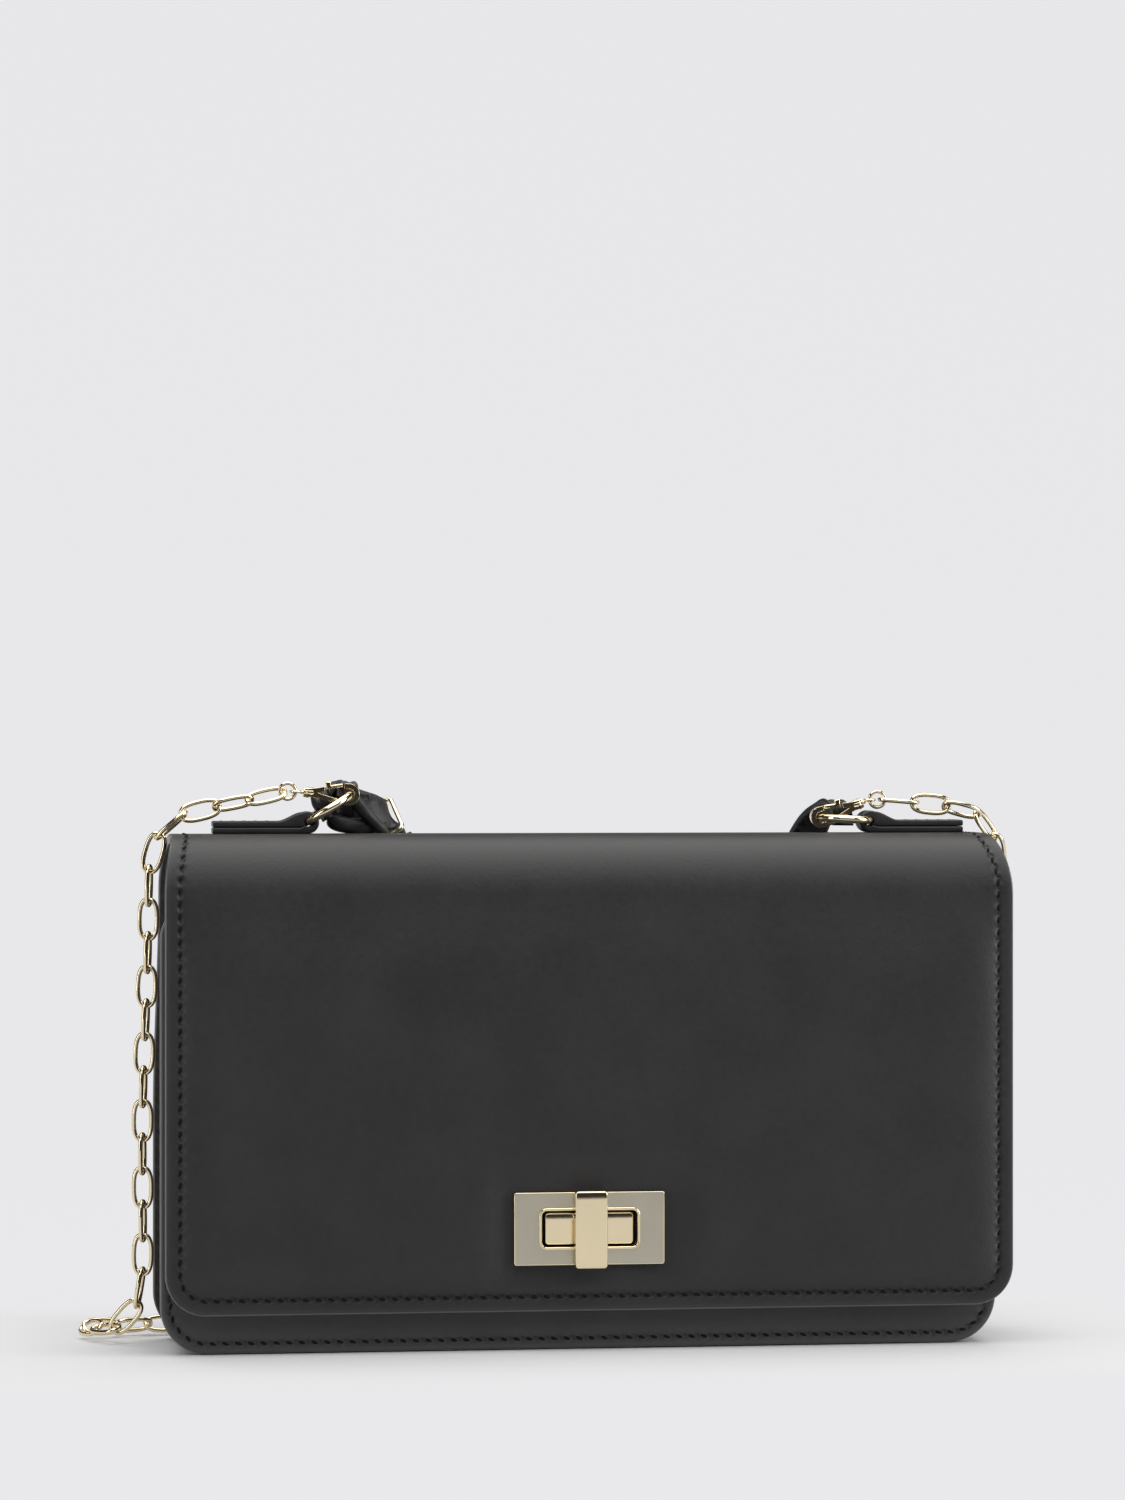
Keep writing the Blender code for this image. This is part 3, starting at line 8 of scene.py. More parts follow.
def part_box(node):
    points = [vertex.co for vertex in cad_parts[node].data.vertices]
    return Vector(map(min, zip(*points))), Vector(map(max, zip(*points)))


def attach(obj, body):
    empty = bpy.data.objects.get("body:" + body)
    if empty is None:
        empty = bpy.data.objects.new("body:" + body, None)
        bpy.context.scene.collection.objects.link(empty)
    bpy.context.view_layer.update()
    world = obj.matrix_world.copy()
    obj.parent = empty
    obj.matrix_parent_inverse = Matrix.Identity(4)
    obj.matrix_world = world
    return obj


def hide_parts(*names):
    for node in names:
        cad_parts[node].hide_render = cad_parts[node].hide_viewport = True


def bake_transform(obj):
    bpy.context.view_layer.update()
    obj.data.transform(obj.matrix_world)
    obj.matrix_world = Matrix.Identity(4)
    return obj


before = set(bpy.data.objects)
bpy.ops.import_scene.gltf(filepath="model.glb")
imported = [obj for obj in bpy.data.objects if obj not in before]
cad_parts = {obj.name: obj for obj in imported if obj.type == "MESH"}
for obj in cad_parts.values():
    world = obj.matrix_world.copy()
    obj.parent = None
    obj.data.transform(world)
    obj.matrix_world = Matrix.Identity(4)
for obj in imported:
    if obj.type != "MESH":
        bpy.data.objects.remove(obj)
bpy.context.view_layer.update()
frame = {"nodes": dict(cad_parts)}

# Black leather wallet on chain: padded flap over a gusseted body, turn lock, tabs, rings, clasps, chain.
# Metres, +Z up, front towards -Y.

# Sizes shared with the solids
BAG_HEIGHT = 0.120
BODY_DEPTH = 0.035
PANEL_WIDTH, PANEL_ASIDE, PANEL_HEIGHT = 0.197, -0.0008, 0.104
PANEL_THICK, PANEL_CORNER, PANEL_TOP_CORNER = 0.0024, 0.011, 0.008
GUSSET_HALF, GUSSET_ASIDE, GUSSET_THICK, GUSSET_CORNER = 0.0969, 0.0003, 0.0018, 0.010
GAP = 0.0003
LOOSE = 0.0006
REAR_SHOULDER, FOLD_Y = 0.013, -0.0066
FLAP_WIDTH, FLAP_ASIDE = 0.1984, 0.0013
CREST_ASIDE, CREST_DRAWN_IN = -0.0006, 0.0023
FLAP_STAND, FLAP_LEATHER, FLAP_LINING, FLAP_LINING_INSET = 0.0045, 0.0015, 0.0009, 0.0010
FLAP_SHOULDER, FLAP_LOW_EDGE, FLAP_CORNER = 0.014, 0.0092, 0.0095
FLAP_CROWN, STITCH_MARGIN = 0.0019, 0.0035
LOCK_HEIGHT = 0.0285
PLATE_WIDTH, PLATE_HEIGHT, PLATE_THICK = 0.0354, 0.0170, 0.0010
SLOT_WIDTH, SLOT_HEIGHT, SLOT_CORNER = 0.0224, 0.0084, 0.0012
HARDWARE_Y = 0.0015
TAB_LENGTH, TAB_WIDTH, TAB_STRAP, TAB_FOLD_WALL = 0.0250, 0.0065, 0.0015, 0.0009
LEFT_TAB_INSET, RIGHT_TAB_INSET = 0.0118, 0.0072
RING_OUTER, RING_WIRE = 0.0142, 0.0019
LEFT_RING_TILT, RIGHT_RING_TILT = math.radians(32), math.radians(3)
CLASP_LENGTH, CLASP_BOWL_RADIUS, CLASP_THICK, CLASP_WALL = 0.0130, 0.0026, 0.0022, 0.00122
CLASP_SEAT, CLASP_NECK = 0.0003, 0.0009
CLASP_TAIL_RADIUS, CLASP_TAIL_LENGTH = 0.0012, 0.0022
CLASP_OPENING_START, CLASP_OPENING_ROUND = 0.0032, 0.0012
CLASP_GATE_START, CLASP_GATE_END = 0.0047, 0.0093
TRIGGER_THICK, TRIGGER_WALL, TRIGGER_THUMB = 0.0014, 0.0009, 0.0011
EYE_RADIUS, EYE_WIRE, EYE_POST_RADIUS = 0.00115, 0.0007, 0.0004
JUMP_OUTER, JUMP_WIRE = 0.0046, 0.00085
LEFT_CLASP_SLOPE, RIGHT_CLASP_SLOPE = math.radians(3), math.radians(19)
LEFT_JUMP_RISE, RIGHT_JUMP_RISE = math.radians(4), math.radians(5)
LINK_LENGTH, LINK_WIDTH, LINK_WIRE, LINK_PLAY = 0.01015, 0.0050, 0.00095, 0.00035
LINK_TURNS = (12, 102)
LEFT_LINKS, LEFT_FIRST_TURNS = 20, (50, 125, 17)
RIGHT_LINKS, RIGHT_FIRST_TURNS = 5, (90, 0, 55, 140, 50)
RUN_DIAMETER = 0.0042
COIL_TURNS, COIL_RADIUS, COIL_STEP, COIL_CENTRE = 5, 0.027, 0.0047, (-0.012, 0.0535)
STRAP_WIDTH, STRAP_THICK = 0.0085, 0.0022
SLIDE_WIRE, SLIDE_WIDTH, SLIDE_HEIGHT = 0.0011, 0.0116, 0.0052

BACK_FACE_Y, FRONT_FACE_Y = BODY_DEPTH / 2, -BODY_DEPTH / 2
FRONT_INNER_Y, BACK_INNER_Y = FRONT_FACE_Y + PANEL_THICK, BACK_FACE_Y - PANEL_THICK
FLAP_FACE_Y = FRONT_FACE_Y - FLAP_STAND
SHOULDER_Y, SHOULDER_Z = FLAP_FACE_Y + FLAP_SHOULDER, BAG_HEIGHT - FLAP_SHOULDER
TAB_BASE_Z = BAG_HEIGHT + GAP
RING_RADIUS = (RING_OUTER - RING_WIRE) / 2
RING_BOW = RING_RADIUS - math.sqrt(RING_RADIUS**2 - (TAB_WIDTH / 2) ** 2)
LOOP_HOLE_RADIUS = RING_WIRE / 2 + RING_BOW / 2 + GAP
LOOP_RADIUS = LOOP_HOLE_RADIUS + TAB_FOLD_WALL
LOOP_CENTRE_Z = TAB_BASE_Z + LOOP_RADIUS
LOOP_CENTRE_FROM_END = TAB_LENGTH - LOOP_RADIUS
LEFT_TAB_END_X = FLAP_ASIDE - FLAP_WIDTH / 2 + LEFT_TAB_INSET
RIGHT_TAB_END_X = FLAP_ASIDE + FLAP_WIDTH / 2 - RIGHT_TAB_INSET
LEFT_LOOP_X = LEFT_TAB_END_X + LOOP_CENTRE_FROM_END
RIGHT_LOOP_X = RIGHT_TAB_END_X - LOOP_CENTRE_FROM_END
STRAP_HANG_Y = BACK_FACE_Y + STRAP_THICK / 2 + 0.0008
LINK_PITCH = LINK_LENGTH - 2 * LINK_WIRE - LINK_PLAY
JUMP_RADIUS = (JUMP_OUTER - JUMP_WIRE) / 2

LEFT_ROUTE = (
    (-0.0739, 0.0015, 0.1287), (-0.0826, 0.0016, 0.1268), (-0.0904, 0.0018, 0.1255),
    (-0.0967, 0.0022, 0.1218), (-0.1003, 0.0026, 0.1155), (-0.1009, 0.0030, 0.1055),
    (-0.1010, 0.0034, 0.0969), (-0.1014, 0.0038, 0.0807), (-0.1020, 0.0042, 0.0649),
    (-0.1023, 0.0046, 0.0492), (-0.1022, 0.0050, 0.0327), (-0.1022, 0.0052, 0.0190),
    (-0.1030, 0.0054, 0.0110), (-0.1058, 0.0060, 0.0048), (-0.1102, 0.0078, 0.0030),
    (-0.1128, 0.0120, 0.0029), (-0.1118, 0.0172, 0.0029), (-0.1065, 0.0212, 0.0029),
    (-0.0990, 0.0235, 0.0029),
)
RIGHT_ROUTE = (
    (0.0783, 0.0015, 0.1274), (0.0857, 0.0018, 0.1268), (0.0932, 0.0022, 0.1258),
    (0.1002, 0.0034, 0.1228), (0.1034, 0.0070, 0.1162), (0.1044, 0.0105, 0.1085),
    (0.1050, 0.0135, 0.1000),
)
LEFT_RUN_BEND = ((-0.0905, 0.0258, 0.0024), (-0.0800, 0.0265, 0.0022), (-0.0640, 0.0265, 0.0022))
RIGHT_RUN_BEND = (
    (0.1058, 0.0190, 0.0880), (0.1060, 0.0222, 0.0760), (0.1046, 0.0238, 0.0600),
    (0.1020, 0.0245, 0.0420), (0.0992, 0.0250, 0.0250), (0.0940, 0.0255, 0.0110),
    (0.0845, 0.0260, 0.0040), (0.0710, 0.0264, 0.0022), (0.0520, 0.0265, 0.0022),
    (0.0360, 0.0265, 0.0034), (0.0220, 0.0265, 0.0060),
)

# Handle strap: share of the way between the tabs' loops, place from there and from the crest,
# direction of its width, width share
STRAP_ROUTE = (
    (0, (0.0061, 0.00455, 0.0040), (0.85, 0, 0.53), 0.6),
    (0, (0.0049, 0.00455, 0.0059), (0.85, 0, 0.53), 0.6),
    (0, (0.0037, 0.0048, 0.0080), (0.85, 0, 0.53), 0.62),
    (0, (0.0042, 0.0070, 0.0094), (0.8, -0.2, 0.56), 0.75),
    (0, (0.0063, 0.0095, 0.0088), (0.35, -0.3, 0.89), 0.92),
    (0, (0.0096, 0.0110, 0.0072), (0, -0.25, 0.97), 1),
    (0, (0.0136, 0.0118, 0.0058), (-0.12, -0.1, 0.98), 1),
    (0, (0.0174, 0.0136, 0.0047), (-0.35, 0, 0.94), 1),
    (0, (0.0204, 0.0162, 0.0034), (-0.52, 0, 0.85), 1),
    (0, (0.0222, 0.0190, -0.0010), (-0.66, 0, 0.68), 0.9),
    (0, (0.0238, 0.0196, -0.0036), (-0.88, 0, 0.34), 1),
    (0.178, (0.0000, 0.0197, -0.0098), (-1, 0, 0), 1),
    (0.181, (0.0000, STRAP_HANG_Y, -0.0200), (-1, 0, 0), 1),
    (0.192, (0.0000, STRAP_HANG_Y, -0.0360), (-0.97, 0, -0.2), 1),
    (0.23, (0.0000, STRAP_HANG_Y, -0.0520), (-0.87, 0, -0.5), 1),
    (0.306, (0.0000, STRAP_HANG_Y, -0.0650), (-0.5, 0, -0.87), 1),
    (0.414, (0.0000, STRAP_HANG_Y, -0.0715), (-0.15, 0, -0.98), 1),
    (0.536, (0.0000, STRAP_HANG_Y, -0.0720), (0.15, 0, -0.98), 1),
    (0.652, (0.0000, STRAP_HANG_Y, -0.0660), (0.5, 0, -0.87), 1),
    (0.741, (0.0000, STRAP_HANG_Y, -0.0530), (0.85, 0, -0.5), 1),
    (0.799, (0.0000, STRAP_HANG_Y, -0.0360), (0.97, 0, -0.25), 1),
    (0.845, (0.0000, 0.0194, -0.0190), (0.98, 0, -0.2), 1),
    (0.888, (0.0000, 0.0192, -0.0075), (0.96, 0, -0.28), 1),
    (0.916, (0.0000, 0.0180, 0.0000), (0.95, 0.1, -0.25), 1),
    (1, (-0.0094, 0.0150, 0.0044), (0.93, 0.3, -0.15), 0.9),
    (1, (-0.0084, 0.0110, 0.0062), (0.92, 0.36, -0.05), 0.68),
    (1, (-0.0074, 0.0072, 0.0068), (0.95, 0.3, 0), 0.56),
    (1, (-0.0063, 0.0046, 0.0058), (1, 0.1, 0), 0.54),
    (1, (-0.0057, 0.00455, 0.0037), (1, 0, 0), 0.6),
    (1, (-0.0057, 0.00455, 0.0016), (1, 0, 0), 0.6),
)
SLIDE_POINT, STRAP_STEPS = 8, 9

FACING_FRONT = Matrix(((1, 0, 0, 0), (0, 0, -1, 0), (0, 1, 0, 0), (0, 0, 0, 1)))
FLAT = 0.9999


# Shader maths

class Signal:
    """A shader socket that takes part in Python sums."""

    def __init__(self, finish, socket):
        self.finish = finish
        self.socket = socket

    def output(self, name):
        """Another output of the same node."""
        return Signal(self.finish, self.socket.node.outputs[name])

    def work(self, operation, *values):
        return self.finish.add("Math", {"operation": operation}, dict(enumerate(values)))

    def __add__(self, other):
        return self.work("ADD", self, other)

    def __sub__(self, other):
        return self.work("SUBTRACT", self, other)

    def __rsub__(self, other):
        return self.work("SUBTRACT", other, self)

    def __mul__(self, other):
        return self.work("MULTIPLY", self, other)

    def wave(self):
        return self.work("SINE", self)

    def size(self):
        return self.work("ABSOLUTE", self)

    def within(self, start, end):
        """0 at start and 1 at end, smooth and held outside them."""
        return self.finish.add(
            "MapRange", {"interpolation_type": "SMOOTHSTEP"},
            {"Value": self, "From Min": start, "From Max": end},
        )


class Finish:
    """A material and the nodes that make it."""

    def __init__(self, name, fixed=None):
        self.material = bpy.data.materials.new(name)
        self.material.use_nodes = True
        self.tree = self.material.node_tree
        self.shader = self.tree.nodes["Principled BSDF"]
        for socket, value in (fixed or {}).items():
            self.shader.inputs[socket].default_value = value

    def add(self, kind, settings=None, sockets=None, output=0):
        node = self.tree.nodes.new("ShaderNode" + kind)
        for name, value in (settings or {}).items():
            setattr(node, name, value)
        for name, value in (sockets or {}).items():
            self.feed(node.inputs[name], value)
        return Signal(self, node.outputs[output])

    def feed(self, socket, value):
        if isinstance(value, Signal):
            self.tree.links.new(value.socket, socket)
        else:
            socket.default_value = value

    def shade(self, socket, value):
        self.feed(self.shader.inputs[socket], value)

    def place(self):
        return self.add("TexCoord", output="Object")

    def cloud(self, place, scale, detail=2.0, roughness=0.5):
        settings = {"Vector": place, "Scale": scale, "Detail": detail, "Roughness": roughness}
        return self.add("TexNoise", None, settings)

    def cells(self, place, scale, feature="F1"):
        return self.add("TexVoronoi", {"feature": feature}, {"Vector": place, "Scale": scale})

    def tint(self, factor, first, second):
        return self.add(
            "Mix", {"data_type": "RGBA"}, {0: factor, 6: (*first, 1), 7: (*second, 1)}, output=2
        )

    def relief(self, height, distance, strength):
        bump = self.add("Bump", None, {"Height": height, "Distance": distance, "Strength": strength})
        self.shade("Normal", bump)


def leather_finish(name, dark, light, sewn):
    """Fine-grained calf: mottled, with small pores, and puckers between stitches where it is sewn. Along the
    stitch line and at the stitch holes its colour is painted darker, as painted shade.
    """
    made = Finish(name, {"Specular IOR Level": 0.33})
    place = made.place()
    broad = made.cloud(place, 55.0, 3.0)
    fine = made.cloud(place, 620.0, 3.0, 0.6)
    pores = made.cells(place, 1500.0, "SMOOTH_F1")
    shade = broad * 0.55 + fine * 0.45
    height = pores * 0.7 + fine * 0.5
    if sewn:
        seam = made.add("Attribute", {"attribute_name": "seam_place"}, output="Vector")
        along = made.add("SeparateXYZ", None, {"Vector": seam})
        across, worn = along.output("Y"), along.output("Z")
        near = 1 - across.size().within(0.0, 1.6)
        between = (along * 2 * math.pi + math.pi / 2).wave().within(0.35, 1.0)
        at_hole = between * (1 - across.size().within(0.15, 0.75))
        pucker = (along * 2 * math.pi).wave()
        height = height + near * pucker * 2.5 - at_hole * 3.0
        # Painted shade: the colour is darker within 1.6 mm of the stitch line and darker still at each stitch
        # hole.
        shade = shade + worn * 0.9 - near * 0.3 - at_hole * 1.2
    made.shade("Base Color", made.tint(shade, dark, light))
    made.shade("Roughness", broad * 0.12 + fine * 0.10 + 0.36)
    made.relief(height, 0.00009, 0.6)
    return made.material


def edge_finish(name, colour, shine, rough):
    """Edge paint or waxed thread: smooth, with faint waves."""
    made = Finish(name, {"Specular IOR Level": shine})
    waves = made.cloud(made.place(), 260.0)
    light = tuple(min(1.0, value * 1.7) for value in colour)
    made.shade("Base Color", made.tint(waves, colour, light))
    made.shade("Roughness", waves * 0.15 + rough)
    made.relief(waves, 0.00008, 0.5)
    return made.material


def cloth_finish(name, dark, light, threads):
    """Close twill of fine threads on two slanted sets of ribs."""
    made = Finish(name, {"Specular IOR Level": 0.25, "Sheen Weight": 0.25, "Sheen Roughness": 0.5})
    x = made.add("SeparateXYZ", None, {"Vector": made.place()})
    z = x.output("Z")
    twill = ((x + z) * threads).wave()
    cross = ((x - z) * threads * 0.5).wave()
    cloud = made.cloud(made.place(), 300.0, 3.0)
    weave = twill * 0.3 + cross * 0.2 + 0.5
    made.shade("Base Color", made.tint(weave * 0.6 + cloud * 0.4, dark, light))
    made.shade("Roughness", cloud * 0.15 + 0.72)
    made.relief(weave + cloud * 0.5, 0.00008, 0.6)
    return made.material


def metal_finish(name, colour, roughness, brushed):
    """Plated metal: fine scratches, or brushed along X where brushed is true."""
    made = Finish(name, {"Metallic": 1.0})
    stretch = (40.0, 900.0, 900.0) if brushed else (500.0, 500.0, 500.0)
    stretched = made.add("Mapping", None, {"Vector": made.place(), "Scale": stretch})
    lines = made.cloud(stretched, 4.0 if brushed else 1.0, 4.0, 0.7)
    haze = made.cloud(made.place(), 160.0)
    deep = tuple(value * 0.86 for value in colour)
    made.shade("Base Color", made.tint(haze * 0.7 + lines * 0.3, deep, colour))
    scatter = 0.16 if brushed else 0.07
    made.shade("Roughness", lines * scatter + haze * 0.05 + roughness)
    made.relief(lines, 0.00003 if brushed else 0.00001, 0.35 if brushed else 0.12)
    return made.material


def foam_finish():
    made = Finish("foam", {"Specular IOR Level": 0.2})
    cells = made.cells(made.place(), 1400.0)
    made.shade("Base Color", made.tint(cells, (0.34, 0.33, 0.31), (0.62, 0.61, 0.58)))
    made.shade("Roughness", cells * 0.1 + 0.85)
    made.relief(cells, 0.0001, 0.6)
    return made.material


LEATHER = leather_finish("leather_sewn", (0.0120, 0.0120, 0.0135), (0.030, 0.030, 0.031), True)
PLAIN_LEATHER = leather_finish("leather_plain", (0.0120, 0.0120, 0.0132), (0.028, 0.028, 0.029), False)
SUEDE = cloth_finish("lining_suede", (0.020, 0.019, 0.018), (0.052, 0.049, 0.047), 2600.0)
LINING = cloth_finish("lining_twill", (0.024, 0.022, 0.022), (0.070, 0.066, 0.064), 4200.0)
# The front panel's leather is the flap's black leather painted about twice as light: painted light, standing
# in for the light on the strip below the flap.
PANEL_LEATHER_PAINTED_LIGHTER = leather_finish("leather_panel_painted_lighter", (0.0290, 0.0290, 0.0290), (0.062, 0.062, 0.061), True)
DARK_EDGE = edge_finish("edge_paint_dark", (0.013, 0.013, 0.013), 0.45, 0.34)
# Light grey edge paint: a painted highlight on the rounded edges of the outer leather, lining, front panel
# and gusset; the tabs and strap keep the near-black edge paint.
EDGE_WITH_PAINTED_HIGHLIGHT = edge_finish("edge_paint", (0.060, 0.060, 0.060), 0.6, 0.24)
THREAD = edge_finish("waxed_thread", (0.0030, 0.0030, 0.0034), 0.15, 0.55)
GOLD = metal_finish("pale_gold", (0.90, 0.77, 0.52), 0.06, False)
SATIN_GOLD = metal_finish("satin_gold", (0.69, 0.64, 0.51), 0.27, True)
STEEL = metal_finish("plated_steel", (0.62, 0.62, 0.64), 0.22, True)
FOAM = foam_finish()


# Making pieces

def new_object(name, data):
    made = bpy.data.objects.new(name, data)
    bpy.context.scene.collection.objects.link(made)
    return made


def add_object(name, mesh, materials, body, replaced=(), smooth=True):
    """A finished piece that rides on a body, or on none where body is None."""
    piece = new_object(name, mesh)
    for material in materials:
        mesh.materials.append(material)
    if smooth:
        mesh.shade_smooth()
    if body:
        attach(piece, body)
    if replaced:
        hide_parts(*replaced)
    return piece


def add_gold(name, mesh, node, body="bag", smooth=True):
    add_object(name, mesh, [GOLD], body, [node], smooth)


def add_stitches(name, frames, body="bag"):
    return add_object(name, many(name, STITCH, frames), [THREAD], body)


def opened(*meshes):
    work = bmesh.new()
    for mesh in meshes:
        work.from_mesh(mesh)
    return work


def weld(work):
    bmesh.ops.remove_doubles(work, verts=work.verts, dist=1e-6)


def face_out(work):
    bmesh.ops.recalc_face_normals(work, faces=work.faces)
    if work.calc_volume(signed=True) < 0:
        bmesh.ops.reverse_faces(work, faces=work.faces)


def put_back(work, mesh):
    work.to_mesh(mesh)
    work.free()
    return mesh


def to_mesh(name, work):
    return put_back(work, bpy.data.meshes.new(name))


def sharp_edges(work, degrees):
    limit = math.radians(degrees)
    return [edge for edge in work.edges if edge.is_manifold and edge.calc_face_angle(0) > limit]


def round_over(work, edges, rounding, segments, limited=True):
    bmesh.ops.bevel(
        work, geom=edges, affect="EDGES", offset=rounding, segments=segments, profile=0.5, material=-1,
        clamp_overlap=limited,
    )


def sharpen(mesh, degrees=40):
    mesh.shade_smooth()
    mesh.set_sharp_from_angle(angle=math.radians(degrees))
    return mesh


def ramp(value, start, end):
    share = min(1.0, max(0.0, (value - start) / (end - start)))
    return share * share * (3 - 2 * share)


def spread(start, end, steps):
    return [start + (end - start) * step / steps for step in range(steps + 1)]


def arc(centre, radius, start, end, steps):
    angles = [math.radians(angle) for angle in spread(start, end, steps)]
    return [(centre[0] + radius * math.cos(angle), centre[1] + radius * math.sin(angle)) for angle in angles]


def rounded_rectangle(width, height, corner, steps=6):
    loop = []
    for quarter, (x, y) in enumerate(((1, -1), (1, 1), (-1, 1), (-1, -1))):
        centre = (x * (width / 2 - corner), y * (height / 2 - corner))
        loop += arc(centre, corner, 90 * quarter - 90, 90 * quarter, steps)
    return loop


def front_place(x, y, z):
    return Matrix.Translation((x, y, z)) @ FACING_FRONT


def axes(along, facing):
    """The turn that takes X to one direction and Z to another."""
    return Matrix((along, facing.cross(along), facing)).transposed().to_4x4()


def squared(direction, along):
    """The direction, turned to be square to another."""
    return (direction - along * direction.dot(along)).normalized()


def evaluated_mesh(thing):
    bpy.context.view_layer.update()
    return bpy.data.meshes.new_from_object(thing.evaluated_get(bpy.context.evaluated_depsgraph_get()))


def lean_back(work, start, radius):
    """Bend the face of a plate back, above a height."""
    for height in spread(start, max(vertex.co.y for vertex in work.verts), 5)[:-1]:
        geometry = work.verts[:] + work.edges[:] + work.faces[:]
        bmesh.ops.bisect_plane(work, geom=geometry, plane_co=(0, height, 0), plane_no=(0, 1, 0), dist=1e-7)
    for vertex in work.verts:
        past = vertex.co.y - start
        if past > 0 and vertex.co.z > 0:
            vertex.co.z -= past * past / (2 * radius)


def rounded_plate(loops, thickness, rounding, place, segments=3, polished=False, dome=None):
    """A flat outline, with any holes as further loops, whose edges are all rounded over.

    Where polished is true, all but its two flats has the second material. dome is where its face starts to
    lean back and the radius of that bend."""
    work = bmesh.new()
    for loop in loops:
        corners = [work.verts.new((x, y, -thickness / 2)) for x, y in loop]
        for first, second in zip(corners, corners[1:] + corners[:1]):
            work.edges.new((first, second))
    bmesh.ops.triangle_fill(work, use_beauty=True, use_dissolve=True, edges=work.edges[:])
    if len(work.faces) > 1:
        inner = [edge for edge in work.edges if edge.is_manifold]
        bmesh.ops.dissolve_limit(
            work, angle_limit=math.radians(1), verts=work.verts[:], edges=inner, use_dissolve_boundaries=False
        )
    raised = bmesh.ops.extrude_face_region(work, geom=work.faces[:], use_keep_orig=True)
    top = [item for item in raised["geom"] if isinstance(item, bmesh.types.BMVert)]
    bmesh.ops.translate(work, vec=(0, 0, thickness), verts=top)
    face_out(work)
    rims = [
        edge for edge in sharp_edges(work, 60)
        if abs(edge.verts[0].co.z - edge.verts[1].co.z) < thickness / 2
    ]
    round_over(work, rims, rounding, segments)
    if polished:
        for face in work.faces:
            face.material_index = 0 if abs(face.normal.z) > FLAT else 1
    if dome:
        lean_back(work, *dome)
    mesh = sharpen(to_mesh("plate", work))
    for polygon in mesh.polygons:
        if abs(polygon.normal.z) > FLAT:
            polygon.use_smooth = False
    mesh.transform(place)
    return mesh


def wire_mesh(loop, diameter, resolution):
    """A closed loop of wire in the XY plane."""
    data = bpy.data.curves.new("wire", "CURVE")
    data.dimensions = "3D"
    data.bevel_depth = diameter / 2
    data.bevel_resolution = resolution
    line = data.splines.new("POLY")
    line.points.add(len(loop) - 1)
    for point, (x, y) in zip(line.points, loop):
        point.co = (x, y, 0, 1)
    line.use_cyclic_u = True
    drawn = new_object("wire", data)
    mesh = evaluated_mesh(drawn)
    bpy.data.objects.remove(drawn, do_unlink=True)
    work = opened(mesh)
    weld(work)
    face_out(work)
    return put_back(work, mesh)


def rod_mesh(radius, start, end, sides=32, rounding=0.0):
    start, end = Vector(start), Vector(end)
    work = bmesh.new()
    bmesh.ops.create_cone(
        work, cap_ends=True, segments=sides, radius1=radius, radius2=radius, depth=(end - start).length
    )
    if rounding:
        round_over(work, sharp_edges(work, 60), rounding, 2, False)
    turn = (end - start).to_track_quat("Z", "Y").to_matrix().to_4x4()
    bmesh.ops.transform(work, matrix=Matrix.Translation((start + end) / 2) @ turn, verts=work.verts)
    return sharpen(to_mesh("rod", work))


def ring_mesh(radius, wire, steps, sides, place):
    """A closed ring about Z, then put in its place: a round section spun once."""
    work = bmesh.new()
    section = bmesh.ops.create_circle(work, segments=sides, radius=wire / 2)["verts"]
    stand = Matrix.Translation((radius, 0, 0)) @ Matrix.Rotation(math.pi / 2, 4, "X")
    bmesh.ops.transform(work, matrix=stand, verts=section)
    bmesh.ops.spin(
        work, geom=work.verts[:] + work.edges[:], cent=(0, 0, 0), axis=(0, 0, 1), dvec=(0, 0, 0),
        angle=2 * math.pi, steps=steps, use_merge=True,
    )
    weld(work)
    face_out(work)
    mesh = to_mesh("ring", work)
    mesh.transform(place)
    return mesh


def merged(*meshes):
    """Several meshes as one."""
    made = to_mesh("merged", opened(*meshes))
    for mesh in meshes:
        bpy.data.meshes.remove(mesh)
    return made


def many(name, mesh, places):
    """One small shape repeated at every place."""
    work = bmesh.new()
    for place in places:
        before = len(work.verts)
        work.from_mesh(mesh)
        work.verts.ensure_lookup_table()
        bmesh.ops.transform(work, matrix=place, verts=work.verts[before:])
    return to_mesh(name, work)


def add_rounded(name, node, rounding, material, body):
    """A solid's own shape with its edges rounded over."""
    work = opened(frame["nodes"][node].data)
    weld(work)
    bmesh.ops.dissolve_limit(work, angle_limit=math.radians(2), verts=work.verts[:], edges=work.edges[:])
    face_out(work)
    if rounding:
        round_over(work, sharp_edges(work, 50), rounding, 2)
    mesh = sharpen(to_mesh(name, work), 35)
    return add_object(name, mesh, [material], body, [node], smooth=False)


def cut_out(mesh, cutters):
    """The mesh with other closed meshes taken away."""
    whole = new_object("whole", mesh)
    tools = [new_object("tool", cutter) for cutter in cutters]
    for tool in tools:
        change = whole.modifiers.new("cut", "BOOLEAN")
        change.operation = "DIFFERENCE"
        change.object = tool
    made = evaluated_mesh(whole)
    for item in (whole, *tools):
        bpy.data.objects.remove(item, do_unlink=True)
    return made


def rounded_off(from_edge, radius):
    """How far a face drops towards a rounded edge."""
    if from_edge >= radius:
        return 0.0
    return radius * (1 - math.sqrt(max(0.0, 1 - (1 - from_edge / radius) ** 2)))


